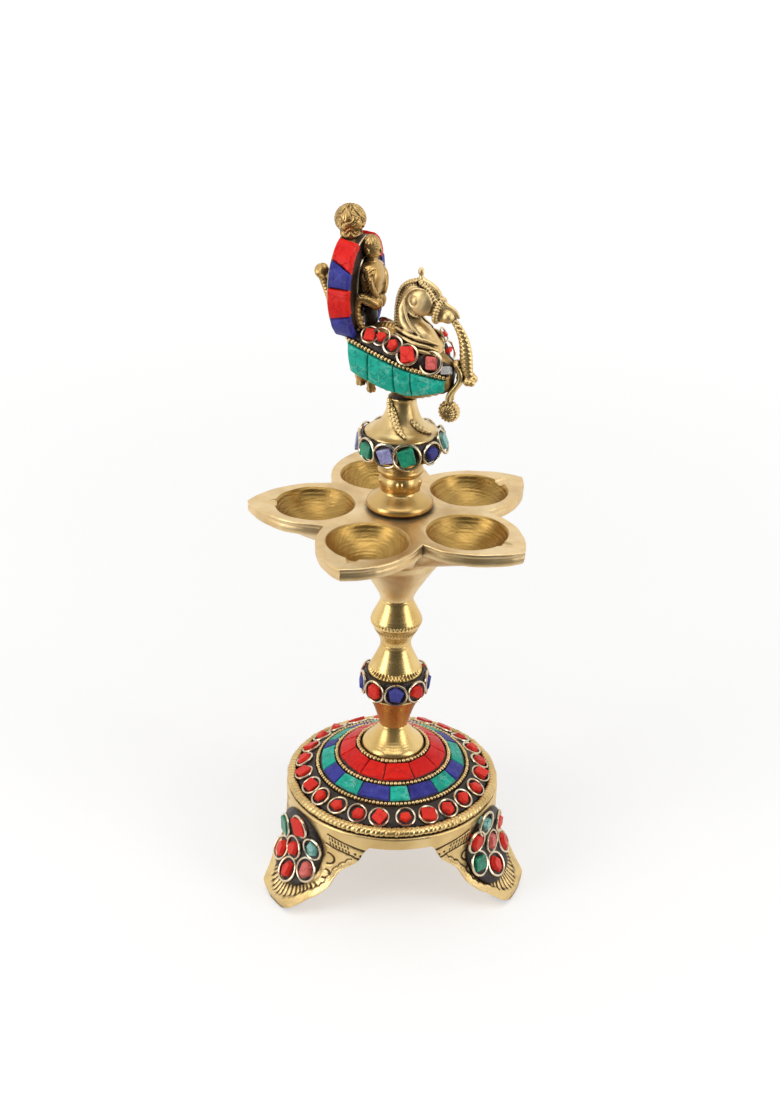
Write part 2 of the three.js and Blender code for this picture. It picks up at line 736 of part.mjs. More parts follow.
function petalPlate() {
  const edge = (offset) => TIP_R * along(OUTLINE, Math.abs(offset));
  const funnelTop = PLATE_Z + FUNNEL_H;
  const edgeLow = PLATE_TOP - EDGE_H;
  const rim = (out, z) => plateRing(({ az, offset }) => polar(az, edge(offset) + out, z));
  const under = (share) => plateRing(({ az, offset }) => {
    const w = (Math.abs(offset) * PETALS) / 180;
    const rise = along(UNDER_TIP, share) * (1 - w) + along(UNDER_NOTCH, share) * w;
    const r = FUNNEL_R + (edge(offset) - 0.5 - FUNNEL_R) * share;
    return polar(az, r, funnelTop + (edgeLow - funnelTop) * rise);
  });
  const funnel = [[KNOP_TOP_R, 0], [KNOP_TOP_R + 0.9, 2.4], [8.6, 6.4], [11.5, 10.9]];
  const rings = [
    plateRing(BORE_R, PLATE_TOP),
    rim(-0.2, PLATE_TOP),
    rim(0.1, PLATE_TOP - EDGE_H * 0.45),
    ...[1, 0.66, 0.36, 0.1, 0].map(under),
    ...[...funnel].reverse().map(([r, h]) => plateRing(r, PLATE_Z + h)),
    ...funnel.map(([r, h]) => plateRing(
      Math.max(r - FUNNEL_WALL, BORE_R + 0.4), PLATE_Z + h,
    )),
    plateRing(FUNNEL_R - FUNNEL_WALL - 1.5, PLATE_TOP - FUNNEL_ROOF - 3),
    plateRing(FUNNEL_R - FUNNEL_WALL - 4, PLATE_TOP - FUNNEL_ROOF),
    plateRing(BORE_R, PLATE_TOP - FUNNEL_ROOF),
  ];
  const body = skin(rings, true);
  const sphereR = (CUP_R ** 2 + CUP_DEPTH ** 2) / (2 * CUP_DEPTH);
  const centreZ = PLATE_TOP - CUP_DEPTH + sphereR;
  const cups = [];
  for (let i = 0; i < PETALS; i += 1) {
    const steps = 3;
    const reach = Math.asin(CUP_R / sphereR);
    const profile = [];
    for (let k = 0; k <= steps; k += 1) {
      const a = (reach * k) / steps;
      profile.push([sphereR * Math.sin(a), centreZ - sphereR * Math.cos(a)]);
    }
    profile.push([CUP_R, PLATE_TOP + 2], [0, PLATE_TOP + 2]);
    const cup = turnedSolid(profile, 16);
    cup.translate(CUP_CENTRE_R, 0, 0);
    cup.rotateZ(rad((360 / PETALS) * i));
    cups.push(cup);
  }
  return cut(body, ...cups);
}

add('petal_plate', petalPlate(), brass, plateGroup);

// Finial foot and pedestal

add('finial_foot', turned(bored(raise([
  [FLANGE_R - 1.6, 0], [FLANGE_R, 1.0], [FLANGE_R, 2.0], [FLANGE_R - 1.5, 3.4],
  [BARREL_R - 0.3, 5.9], [BARREL_R, 8.3], [BARREL_R - 0.3, 10.6],
  [RING_R, 11.8], [RING_R, 13.0], [RING_R - 0.8, FINIAL_FOOT_H],
], FINIAL_Z), BORE_R)), brass);

const COLLAR_TOP = COLLAR_SEAT_Z + COLLAR_SEAT_H;
add('finial_pedestal', turnedSolid(raise([
  [0, 0], [RING_R - 0.8, 0], [COLLAR_SEAT_R - 1.6, COLLAR_SEAT_Z - 1.6],
  [COLLAR_SEAT_R, COLLAR_SEAT_Z], [COLLAR_SEAT_R, COLLAR_TOP],
  [COLLAR_SEAT_R - 1.6, COLLAR_TOP + 0.6], [COLLAR_SEAT_R - 3.8, COLLAR_TOP + 2.2],
  [PEDESTAL_NECK_R + 1.4, COLLAR_TOP + 5], [PEDESTAL_NECK_R, COLLAR_TOP + 8.4],
  [PEDESTAL_NECK_R + 0.2, PEDESTAL_H], [0, PEDESTAL_H],
], PEDESTAL_Z), 20), brass);
add('collar_cell_band', cellBand(
  COLLAR_SEAT_R, PEDESTAL_Z + COLLAR_SEAT_Z, COLLAR_SEAT_H, COLLAR_BAND_T - CHIP_T, 24,
), lac);
add('collar_chips', bandChips(
  COLLAR_CELLS, COLLAR_SEAT_R, PEDESTAL_Z + COLLAR_SEAT_Z, COLLAR_SEAT_H, COLLAR_BAND_T - CHIP_T,
), turquoise);

// Bird. Each station gives its place as a share of the body's length, its half width at the
// wire as a share of the widest, and its top, underside and tiles' lower edge as shares of
// the body's height.

const STATIONS = [
  [0, 0.5, 0.882, 0.567, 0.567],
  [0.074, 0.846, 0.887, 0.374, 0.365],
  [0.331, 0.981, 1, 0.128, 0.217],
  [0.546, 1, 0.956, 0, 0.158],
  [0.706, 0.904, 0.867, 0.02, 0.138],
  [0.957, 0.5, 0.65, 0.177, 0.241],
  [1, 0.25, 0.552, 0.296, 0.315],
].map(([x, w, top, under, low]) => (
  [BODY_L * x - BODY_BACK, BODY_HALF_W * w, BODY_H * top, BODY_H * under, BODY_H * low]));
const BREAST_X = BODY_L - BODY_BACK;
const HOOP_X = HOOP_SET - BODY_BACK;

function station(x) {
  const column = (k) => along(STATIONS.map((s) => [s[0], s[k]]), x);
  return { x, w: column(1), top: column(2), under: column(3), low: column(4) };
}

function wireZ(x) {
  return BODY_H * 0.868 - (x + BODY_BACK) * WIRE_FALL;
}

const WALL_IN = WING_T + SIDE_GAP; // from the tiles' outer face to the body

function shoulder(s) {
  const wb = s.w - WALL_IN;
  return [[0.55 * wb, s.top - 0.22 * (s.top - wireZ(s.x))], [wb, wireZ(s.x)]];
}

// The stations and the places half way between them
const BODY_XS = STATIONS.flatMap(([x], i) => (
  i < STATIONS.length - 1 ? [x, (x + STATIONS[i + 1][0]) / 2] : [x]));

function peacockBody() {
  const rings = BODY_XS.map((x) => {
    const s = station(x);
    const [[y1, z1], [y2, z2]] = shoulder(s);
    const yl = WING_LOW * s.w - WALL_IN;
    const zl = Math.min(s.low, z2 - 1.5);
    const yu = yl * 0.55;
    const zu = s.under + 0.25 * (zl - s.under);
    const half = [[y1, z1], [y2, z2], [yl, zl], [yu, zu]];
    return [
      [0, s.top], ...half, [0, s.under], ...half.reverse().map(([y, z]) => [-y, z]),
    ].map(([y, z]) => new THREE.Vector3(x, y, z));
  });
  const tufts = [];
  for (const side of [-1, 1]) {
    const y = side * BODY_HALF_W * 0.308;
    tufts.push(ball(TUFT_R, TUFT_R * 2.6 - BODY_BACK, y, BODY_H * 0.182, 2.9));
    tufts.push(ball(TUFT_R, TUFT_R * 4.65 - BODY_BACK, y, BODY_H * 0.098, 2.5));
  }
  return joined(skin(rings), ...tufts);
}

function wingTile(index, side) {
  const [x0, x1] = [STATIONS[index][0] + SIDE_GAP / 2, STATIONS[index + 1][0] - SIDE_GAP / 2];
  const section = (x) => {
    const s = station(x);
    const zt = wireZ(x) - WIRE_R - SIDE_GAP;
    const wTop = s.w - ((1 - WING_LOW) * s.w * (wireZ(x) - zt)) / (wireZ(x) - s.low);
    const corners = [
      [wTop, zt], [WING_LOW * s.w, s.low], [WING_LOW * s.w - WING_T, s.low], [wTop - WING_T, zt],
    ];
    return corners.map(([y, z]) => new THREE.Vector3(x, side * y, z));
  };
  return skin([section(x0), section(x1)]);
}

function wingWire(side) {
  const points = STATIONS.slice(1, 6).map(([x]) => {
    const s = station(x);
    return [x, side * (s.w - WALL_IN + SIDE_GAP + WIRE_R), wireZ(x)];
  });
  const rings = points.map(([x, y, z]) => Array.from({ length: 6 }, (_, i) => {
    const a = (Math.PI * i) / 3;
    return new THREE.Vector3(x, y + WIRE_R * Math.cos(a), z + WIRE_R * Math.sin(a));
  }));
  return skin(rings);
}

// A strip on the bird's shoulder, from share s0 to s1 of the facet over the wire
function shoulderStrip(side, sections) {
  const rings = sections.map(({ x, s0, s1, low, high }) => {
    const [[y1, z1], [y2, z2]] = shoulder(station(x));
    const length = Math.hypot(y2 - y1, z1 - z2);
    const [ny, nz] = [(z1 - z2) / length, (y2 - y1) / length];
    const at = (share, out) => new THREE.Vector3(
      x,
      side * (y2 + (y1 - y2) * share + ny * out),
      z2 + (z1 - z2) * share + nz * out,
    );
    return [at(s0, low), at(s1, low), at(s1, high), at(s0, high)];
  });
  return skin(rings);
}

function shoulderBand(side) {
  const xs = BODY_XS.slice(3, 10);
  const low = SEAT_GAP;
  return shoulderStrip(side, xs.map((x) => (
    { x, s0: 0.2, s1: 0.85, low, high: low + CELL_STRIP_T })));
}

function shoulderChips(side) {
  const low = SEAT_GAP + CELL_STRIP_T + SEAT_GAP;
  const [start, end] = [0.221, 0.822].map((share) => BODY_L * share - BODY_BACK);
  const pitch = (end - start) / BACK_CELLS;
  const sections = [];
  for (let i = 0; i < BACK_CELLS; i += 1) {
    const middle = start + pitch * (i + 0.5);
    const half = BACK_CHIP_L / 2;
    for (const x of [middle - half, middle + half]) {
      sections.push({ x, s0: 0.3, s1: 0.75, low, high: low + CHIP_T });
    }
    if (i < BACK_CELLS - 1) {
      for (const x of [middle + half + 0.1, middle + pitch - half - 0.1]) {
        sections.push({ x, s0: 0.45, s1: 0.6, low, high: low + CHIP_WEB_T });
      }
    }
  }
  return shoulderStrip(side, sections);
}

// Neck and head: a side outline for the neck and cheek, a round beak and a pointed crest

const BEAK_X = NECK_X + NECK_W * 0.794;
const BEAK_Z = BODY_H + NECK_H * 0.542;

function neckAndHead() {
  const seat = (x, over = SEAT_GAP) => [x, station(x).top + over];
  const head = [
    [0.762, -0.008], [0.635, 0.162], [0.746, 0.281], [0.905, 0.411],
    [0.905, 0.66], [0.73, 0.881], [0.524, 1], [0.302, 0.974], [0.111, 0.83],
    [-0.016, 0.542], [-0.032, 0.241],
  ].map(([x, z]) => [NECK_X + NECK_W * x, BODY_H + NECK_H * z]);
  const front = NECK_X + NECK_W;
  const neck = plateXZ([
    seat(NECK_X), seat(STATIONS[3][0]), seat(STATIONS[4][0]), seat(front), seat(front - 0.4, 1.6),
    ...head,
  ], NECK_T, NECK_BEVEL);
  const beak = turnedSolid([
    [0, 0], [2.7, 0], [2.2, BEAK_L - 6.6], [1.5, BEAK_L - 5.4], [1.9, BEAK_L - 4.0],
    [BEAK_R, BEAK_L - 2.4], [0.4, BEAK_L], [0, BEAK_L],
  ], 10);
  beak.rotateY(rad(90 + BEAK_TILT));
  beak.translate(BEAK_X, 0, BEAK_Z);
  const crest = turnedSolid([[0, 0], [1.6, 0], [0.3, 4.6], [0, 4.6]], 6);
  crest.translate(NECK_X + NECK_W * 0.508, 0, BODY_H + NECK_H - 1);
  return joined(neck, beak, crest);
}

// The garland starts under the beak, just behind its tip
function beakGarland() {
  const reach = BEAK_L - 2.0;
  const x = BEAK_X + reach * Math.cos(rad(BEAK_TILT));
  const z = BEAK_Z - reach * Math.sin(rad(BEAK_TILT)) - BEAK_R - SEAT_GAP - GARLAND_R * 0.35;
  const bow = BREAST_X + GARLAND_OUT - x;
  const low = BODY_H * STRAP_TOP + GARLAND_LIFT;
  const drop = rod(
    [[0, 0], [0.41, 0.24], [0.91, 0.56], [1, 0.83], [0.89, 1]].map(([out, down]) => (
      [x + bow * out, 0, z + (low - z) * down])),
    GARLAND_R, 8, 7,
  );
  const end = ball(GARLAND_END_R, x + bow + GARLAND_R - 0.1, 0, low);
  return joined(drop, end);
}

function breastScroll() {
  const disc = new THREE.CylinderGeometry(SCROLL_R, SCROLL_R, SCROLL_T, 12);
  disc.translate(BREAST_X - 1.2, 0, -SCROLL_R * 0.65);
  const strap = plateXZ([
    [-0.8, 0], [1.0, 0.02], [1.6, 0.256], [1.4, STRAP_TOP], [0.3, STRAP_TOP], [0.3, 0.266],
    [-1.2, 0.128],
  ].map(([x, z]) => [BREAST_X + x, BODY_H * z]), STRAP_T);
  return joined(disc, strap);
}

add('peacock_body', peacockBody(), agedBrass, birdGroup);
add('peacock_neck', neckAndHead(), agedBrass, birdGroup);
for (const [letter, side] of [['r', -1], ['l', 1]]) {
  for (let i = 1; i <= 4; i += 1) {
    add(`wing_tile_${letter}${i}`, wingTile(i, side), turquoise, birdGroup);
  }
  add(`wing_wire_${letter}`, wingWire(side), agedBrass, birdGroup);
  add(`back_cell_band_${letter}`, shoulderBand(side), lac, birdGroup);
  add(`back_chips_${letter}`, shoulderChips(side), coral, birdGroup);
}
add('beak_garland', beakGarland(), agedBrass, birdGroup);
add('breast_scroll', breastScroll(), agedBrass, birdGroup);

// Tail hoop, with its tiles, crest, back curl and seated figure. It stands on the tail.

const HOOP_Z = station(HOOP_X).top + HOOP_HALF_H * Math.cos(rad(180 - HOOP_SWEEP));
const HOOP_TOP = HOOP_Z + HOOP_HALF_H;

// A sector of an oval band in the plane across the bird, from angle a0 to a1 off the top
function ovalSector(halfW, halfH, band, a0, a1, steps, depth) {
  const outer = [];
  const inner = [];
  for (let i = 0; i <= steps; i += 1) {
    const a = rad(a0 + ((a1 - a0) * i) / steps);
    outer.push([halfW * Math.sin(a), HOOP_Z + halfH * Math.cos(a)]);
    inner.push([(halfW - band) * Math.sin(a), HOOP_Z + (halfH - band) * Math.cos(a)]);
  }
  const outline = [...outer, ...inner.reverse()];
  const shape = new THREE.Shape(outline.map(([y, z]) => new THREE.Vector2(y, z)));
  const g = new THREE.ExtrudeGeometry(shape, { depth, bevelEnabled: false });
  g.rotateX(Math.PI / 2);
  g.rotateZ(Math.PI / 2);
  g.translate(HOOP_X - depth / 2, 0, 0);
  return tidy(g);
}

function hoopTile(index, side) {
  const halfW = HOOP_HALF_W + SIDE_GAP + HOOP_TILE_T;
  const halfH = HOOP_HALF_H + SIDE_GAP + HOOP_TILE_T;
  const gap = THREE.MathUtils.radToDeg(SIDE_GAP / halfW) / 2 + 0.2;
  const a0 = HOOP_TILE_EDGES[index] + gap;
  const a1 = HOOP_TILE_EDGES[index + 1] - gap;
  return ovalSector(halfW, halfH, HOOP_TILE_T, side * a0, side * a1, 3, HOOP_DEPTH);
}

function hoopCrest() {
  const z = HOOP_TOP + SEAT_GAP;
  const g = turnedSolid([
    [0, z], [CREST_R * 0.6, z], [CREST_R, z + CREST_H * 0.35], [CREST_R * 0.92, z + CREST_H * 0.65],
    [CREST_R * 0.5, z + CREST_H * 0.93], [0, z + CREST_H],
  ], 12);
  g.translate(HOOP_X - 1.3, 0, 0);
  return g;
}

function backCurl() {
  const x = -BODY_BACK - STALK_R + 0.2;
  const z = station(HOOP_X).top - 2.3;
  const stalk = rod(
    [[0, 0], [0.286, 0.139], [0.571, 0.405], [0.786, 0.722], [1, 1]].map(([back, up]) => (
      [x - CURL_REACH * back, 0, z + CURL_RISE * up])),
    STALK_R, 8, 7,
  );
  return joined(stalk, ball(CURL_BALL_R, x - CURL_REACH - 0.5, 0, z + CURL_RISE + 1.8));
}

function seatedFigure() {
  const x = HOOP_X + HOOP_DEPTH / 2 + SIDE_GAP + FIGURE_R * 0.8;
  const z = station(x).top + SEAT_GAP;
  const h = (share) => z + FIGURE_H * share;
  const g = turnedSolid([
    [0, h(0)], [FIGURE_R * 0.9, h(0.02)], [FIGURE_R * 1.2, h(0.16)], [FIGURE_R * 0.85, h(0.32)],
    [FIGURE_R, h(0.5)], [FIGURE_R, h(0.62)], [FIGURE_R * 0.5, h(0.72)], [FIGURE_R * 0.88, h(0.84)],
    [FIGURE_R * 0.6, h(0.96)], [0, h(1)],
  ], 10);
  g.scale(0.62, 1, 1);
  g.translate(x, 0, 0);
  return g;
}

add('tail_hoop', ovalSector(
  HOOP_HALF_W, HOOP_HALF_H, HOOP_BAND, -HOOP_SWEEP, HOOP_SWEEP, 24, HOOP_DEPTH,
), agedBrass, birdGroup);
for (const [letter, side] of [['r', -1], ['l', 1]]) {
  for (let i = 0; i < 4; i += 1) {
    add(`hoop_tile_${letter}${i + 1}`, hoopTile(i, side), i % 2 ? lapis : coral, birdGroup);
  }
}
add('hoop_crest', hoopCrest(), agedBrass, birdGroup);
add('tail_curl', backCurl(), agedBrass, birdGroup);
add('seated_figure', seatedFigure(), agedBrass, birdGroup);

export default lamp;
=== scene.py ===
# A brass oil-lamp stand (diya): a stone-set base on three legs, a turned stem, a plate of
# five petals with an oil cup in each, and a peacock with a tail hoop on top.
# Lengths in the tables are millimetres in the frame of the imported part; meshes are in metres.

import bmesh
import bpy
import numpy as np
from numpy import cos, pi, sin
from numpy.linalg import norm
from numpy.random import default_rng
from mathutils import Matrix, Vector


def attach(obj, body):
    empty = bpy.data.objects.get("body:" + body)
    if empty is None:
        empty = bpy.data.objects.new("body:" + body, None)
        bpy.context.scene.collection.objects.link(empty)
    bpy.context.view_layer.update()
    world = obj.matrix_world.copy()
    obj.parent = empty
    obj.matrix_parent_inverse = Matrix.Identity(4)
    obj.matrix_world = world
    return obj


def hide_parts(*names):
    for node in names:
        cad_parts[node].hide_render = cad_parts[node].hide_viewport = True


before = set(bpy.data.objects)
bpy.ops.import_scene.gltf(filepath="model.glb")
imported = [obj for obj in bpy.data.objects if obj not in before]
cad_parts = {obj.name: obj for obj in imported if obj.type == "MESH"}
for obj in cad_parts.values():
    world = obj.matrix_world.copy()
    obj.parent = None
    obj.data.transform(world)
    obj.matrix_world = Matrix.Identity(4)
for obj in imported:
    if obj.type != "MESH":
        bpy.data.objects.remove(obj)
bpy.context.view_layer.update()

MM = 0.001

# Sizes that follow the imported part
ARCH_H = 28.4
DRUM_R = 34.5
WALL = 2.6
RIM_Z = 32.4
DOME_R = 31.2
DOME_SLOPE = 0.536
TOE_REACH = 11.4
FLARE_H = 22.0
TOE_DEPTH = 7.6
LEG_AZIMUTHS = (-15.0, 105.0, 225.0)
BOSS_R = 10.4
BOSS_BOTTOM_R = 8.0
BOSS_BOTTOM_Z = 38.0
BORE_R = 2.8
FOOT_Z = 45.1
BELL_Z = 53.9
KNOP_Z = 83.5
PLATE_Z = 99.6
PLATE_TOP = 130.0
EDGE_H = 3.9
TIP_R = 46.2
PETALS = 5
PLATE_AZ = 186.7
CUP_CENTRE_R = 25.6
CUP_R = 12.1
CUP_DEPTH = 8.5
FUNNEL_R = 14.0
FINIAL_Z = 130.3
PEDESTAL_Z = 144.5
BIRD_Z = 166.0
BIRD_AZ = -15.0
BODY_BACK = 16.6
BODY_H = 20.3
HOOP_X = -16.0
HOOP_HALF_W = 10.8
HOOP_HALF_H = 14.3
HOOP_BAND = 2.6
HOOP_DEPTH = 5.0


def dome_z(r):
    return RIM_Z + 1.25 + DOME_SLOPE * (DOME_R - r)


def rad(degrees):
    return np.radians(degrees)


def full_circle(steps):
    return np.arange(steps) * 2 * pi / steps


def side_by_side(*parts):
    return np.stack(parts, axis=-1)


def polar(azimuth, r, z):
    return side_by_side(r * cos(azimuth), r * sin(azimuth), z)


def held(value):
    return np.clip(value, 0, 1)


# Shapes are collected as closed shells, each turned outward as it is added.

class Shells:
    def __init__(self):
        self.points, self.quads, self.tris, self.values = [], [], [], []
        self.count = 0

    def add(self, points, quads=(), tris=(), value=0.0):
        points = np.asarray(points, float).reshape(-1, 3)
        quads = np.asarray(quads, int).reshape(-1, 4)
        tris = np.asarray(tris, int).reshape(-1, 3)
        fan = np.concatenate([quads[:, [0, 1, 2]], quads[:, [0, 2, 3]], tris])
        middle = points.mean(axis=0)
        a, b, c = (points[fan[:, k]] - middle for k in range(3))
        if np.einsum("ij,ij->i", a, np.cross(b, c)).sum() < 0:
            quads, tris = quads[:, ::-1], tris[:, ::-1]
        self.points.append(points)
        self.quads.append(quads + self.count)
        self.tris.append(tris + self.count)
        self.values.append(np.broadcast_to(np.asarray(value, float), len(points)).copy())
        self.count += len(points)
        return self

    def arrays(self):
        return (np.concatenate(self.points), np.concatenate(self.quads), np.concatenate(self.tris),
            np.concatenate(self.values))


def grid_faces(rows, cols, loop_rows=False, loop_cols=True):
    r = np.arange(rows if loop_rows else rows - 1)
    c = np.arange(cols if loop_cols else cols - 1)
    r, c = np.meshgrid(r, c, indexing="ij")
    r2, c2 = (r + 1) % rows, (c + 1) % cols
    quads = side_by_side(r * cols + c, r * cols + c2, r2 * cols + c2, r2 * cols + c)
    return quads.reshape(-1, 4)


def add_rows(shells, rows, closed_rows=False, value=0.0):
    """A closed skin over rows of points that go round; the first and last row get a cap."""
    rows = np.asarray(rows, float)
    n, m = rows.shape[:2]
    points = rows.reshape(-1, 3)
    quads = grid_faces(n, m, loop_rows=closed_rows)
    tris = np.zeros((0, 3), int)
    value = np.broadcast_to(np.asarray(value, float), (n, m)).reshape(-1)
    if not closed_rows:
        points = np.concatenate([points, rows[:1].mean(axis=1), rows[-1:].mean(axis=1)])
        k = np.arange(m)
        k2 = (k + 1) % m
        first, last = n * m, n * m + 1
        tris = np.concatenate([side_by_side(np.full(m, first), k2, k),
            side_by_side(np.full(m, last), (n - 1) * m + k, (n - 1) * m + k2)])
        value = np.concatenate([value, [value[0], value[-1]]])
    return shells.add(points, quads, tris, value)


def write_points(mesh, points):
    mesh.vertices.foreach_set("co", (points * MM).astype(np.float32).ravel())


def new_mesh(name, points, quads, tris, values=None):
    mesh = bpy.data.meshes.new(name)
    loops = np.concatenate([quads.ravel(), tris.ravel()]).astype(np.int32)
    starts = np.concatenate([np.arange(len(quads)) * 4,
        len(quads) * 4 + np.arange(len(tris)) * 3]).astype(np.int32)
    mesh.vertices.add(len(points))
    write_points(mesh, points)
    mesh.loops.add(len(loops))
    mesh.loops.foreach_set("vertex_index", loops)
    mesh.polygons.add(len(starts))
    mesh.polygons.foreach_set("loop_start", starts)
    mesh.update(calc_edges=True)
    if values is not None and np.ptp(values) > 0:
        layer = mesh.attributes.new("tone", "FLOAT", "POINT")
        layer.data.foreach_set("value", values.astype(np.float32))
    return mesh


def new_object(mesh, name=None):
    obj = bpy.data.objects.new(name or mesh.name, mesh)
    bpy.context.scene.collection.objects.link(obj)
    return obj


def made_by_modifiers(obj):
    depsgraph = bpy.context.evaluated_depsgraph_get()
    mesh = bpy.data.meshes.new_from_object(obj.evaluated_get(depsgraph))
    obj.modifiers.clear()
    return mesh


def finish_piece(obj, body, material, replaces=(), crease=35.0):
    mesh = obj.data
    if material is not None:
        mesh.materials.clear()
        mesh.materials.append(material)
    mesh.polygons.foreach_set("use_smooth", np.ones(len(mesh.polygons), bool))
    mesh.set_sharp_from_angle(angle=rad(crease))
    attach(obj, body)
    if replaces:
        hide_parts(*replaces)
    return obj


def piece(name, shells, body, material, replaces=(), crease=35.0):
    obj = new_object(new_mesh(name, *shells.arrays()))
    return finish_piece(obj, body, material, replaces, crease)


# Lines and profiles

def smooth_line(points, steps=8, closed=False):
    """A round curve through the points (Catmull-Rom with even pull at each end)."""
    p = np.asarray(points, float)
    if closed:
        p = np.concatenate([p[-1:], p, p[:2]])
    else:
        p = np.concatenate([2 * p[:1] - p[1:2], p, 2 * p[-1:] - p[-2:-1]])
    t = np.linspace(0, 1, steps, endpoint=False)[:, None]
    out = []
    for a, b, c, d in zip(p[:-3], p[1:-2], p[2:-1], p[3:]):
        out.append(0.5 * ((2 * b) + (c - a) * t + (2 * a - 5 * b + 4 * c - d) * t ** 2 +
            (3 * b - a - 3 * c + d) * t ** 3))
    if not closed:
        out.append(p[-2:-1])
    return np.concatenate(out)


def even(points, spacing):
    """The same line with points about the spacing apart."""
    p = np.asarray(points, float)
    s = np.concatenate([[0], np.cumsum(norm(np.diff(p, axis=0), axis=1))])
    n = max(int(round(s[-1] / spacing)), 2)
    at = np.linspace(0, s[-1], n + 1)
    return np.stack([np.interp(at, s, p[:, k]) for k in range(p.shape[1])], axis=-1)


def turned_rows(profile, columns=96, relief=None):
    """Rows of points for a turned shape from [r, z] pairs; relief(az, r, z) adds to r."""
    profile = np.asarray(profile, float)
    az = full_circle(columns)
    r = np.repeat(profile[:, :1], columns, axis=1)
    z = np.repeat(profile[:, 1:], columns, axis=1)
    if relief is not None:
        r = r + relief(np.broadcast_to(az, r.shape), r, z)
    return polar(az, r, z)


def add_turned(shells, profile, columns, closed=True, relief=None):
    return add_rows(shells, turned_rows(profile, columns, relief), closed)


def path_frames(path, start_up=(0, 0, 1)):
    path = np.asarray(path, float)
    forward = np.gradient(path, axis=0)
    forward /= norm(forward, axis=1)[:, None]
    side = np.zeros_like(path)
    up = np.asarray(start_up, float)
    for i, f in enumerate(forward):
        level = up - f * up.dot(f)
        if norm(level) < 1e-6:
            level = np.cross(f, (0, 1, 0))
        up = level / norm(level)
        side[i] = up
    return forward, side, np.cross(forward, side)


def add_rod(shells, path, radius, sides=12, flat=1.0, start_up=(0, 0, 1), ends=3):
    """A rod along the path with rounded ends; flat squeezes it along start_up."""
    path = np.asarray(path, float)
    radius = np.broadcast_to(np.asarray(radius, float), len(path)).copy()
    forward, side, across = path_frames(path, start_up)
    angles = full_circle(sides)

    def cap(end, way):
        return [(path[end] + way * forward[end] * radius[end] * sin(a) * 0.8, side[end],
            across[end], radius[end] * cos(a)) for a in np.arange(1, ends + 1) / (ends + 0.4) * pi
            / 2]

    rows = cap(0, -1)[::-1] + list(zip(path, side, across, radius)) + cap(-1, 1)
    skin = [p + r * (flat * cos(angles)[:, None] * s + sin(angles)[:, None] * c) for p, s, c,
        r in rows]
    return add_rows(shells, skin)


def add_ball(shells, centre, radii, rings=12, columns=20):
    t = np.linspace(0, pi, rings + 2)[1:-1]
    a = full_circle(columns)
    rows = side_by_side(sin(t)[:, None] * cos(a), sin(t)[:, None] * sin(a),
        np.repeat(cos(t)[:, None], columns, axis=1))
    points = np.concatenate([rows.reshape(-1, 3), [(0, 0, 1), (0, 0, -1)]]) * radii + centre
    n = rings * columns
    k = np.arange(columns)
    k2 = (k + 1) % columns
    tris = np.concatenate([side_by_side(np.full(columns, n), k, k2),
        side_by_side(np.full(columns, n + 1), n - columns + k2, n - columns + k)])
    quads = grid_faces(rings, columns)[:, ::-1]
    return shells.add(points, quads, tris)


def turn_z(degrees):
    return np.array(Matrix.Rotation(rad(degrees), 3, Vector((0, 0, 1))))


# The bird is drawn in its own frame, looking along +X, with Z from the body's underside

def from_bird(points):
    p = np.asarray(points, float)
    c, s = cos(rad(BIRD_AZ)), sin(rad(BIRD_AZ))
    return side_by_side(p[..., 0] * c - p[..., 1] * s, p[..., 0] * s + p[..., 1] * c,
        p[..., 2] + BIRD_Z)


def bird_shells(shells):
    shells.points = [from_bird(p) for p in shells.points]
    return shells


def read_points(mesh, what):
    values = np.empty(len(mesh.vertices) * 3, np.float32)
    mesh.vertices.foreach_get(what, values)
    return values.reshape(-1, 3).astype(float)


# Cast shapes: separate lumps are melted into one skin, eased, then carved

def melt(name, shells, grain, ease, carve):
    obj = new_object(new_mesh(name + "_raw", *shells.arrays()[:3]))
    skin = obj.modifiers.new("skin", "REMESH")
    skin.mode = "VOXEL"
    skin.voxel_size = grain * MM
    skin.adaptivity = 0.0
    mesh = made_by_modifiers(obj)
    bpy.data.objects.remove(obj)
    bm = bmesh.new()
    bm.from_mesh(mesh)
    for _ in range(ease):
        bmesh.ops.smooth_vert(bm, verts=bm.verts, factor=0.5, use_axis_x=True, use_axis_y=True,
            use_axis_z=True)
    bm.normal_update()
    bm.to_mesh(mesh)
    bm.free()
    mesh.name = name
    co, normal = read_points(mesh, "co") / MM, read_points(mesh, "normal")
    co = co + normal * carve(co, normal)[:, None]
    write_points(mesh, co)
    mesh.update()
    return new_object(mesh)


def bird_cast(name, shells, grain, ease, carve, finish, node, crease=70):
    cast = melt(name, bird_shells(shells), grain, ease, carve)
    finish_piece(cast, "finial", finish, [node], crease)


def ripple(points, size, seed):
    """Soft unevenness from a few crossed waves, about -1 to 1."""
    rng = default_rng(seed)
    total = np.zeros(points.shape[:-1])
    for k in range(5):
        d = rng.normal(size=3)
        d *= 2 * pi / (size * (0.7 + 0.25 * k) * norm(d))
        total += sin(points @ d + rng.uniform(0, 6.28))
    return total / 3


# Finishes

def put(tree, kind, values=None, out=0, **settings):
    """Adds a node, sets or links its inputs, and returns one of its outputs."""
    made = tree.nodes.new(kind)
    for key, value in settings.items():
        setattr(made, key, value)
    for key, value in (values or {}).items():
        socket = made.inputs[key]
        if isinstance(value, bpy.types.NodeSocket):
            tree.links.new(value, socket)
        else:
            socket.default_value = value
    return made.outputs[out]


def calc(tree, operation, *values, clamp=False):
    return put(tree, "ShaderNodeMath", dict(enumerate(values)), operation=operation,
        use_clamp=clamp)


def times(tree, a, b, **settings):
    return calc(tree, "MULTIPLY", a, b, **settings)


def times_plus(tree, a, b, c, **settings):
    return calc(tree, "MULTIPLY_ADD", a, b, c, **settings)


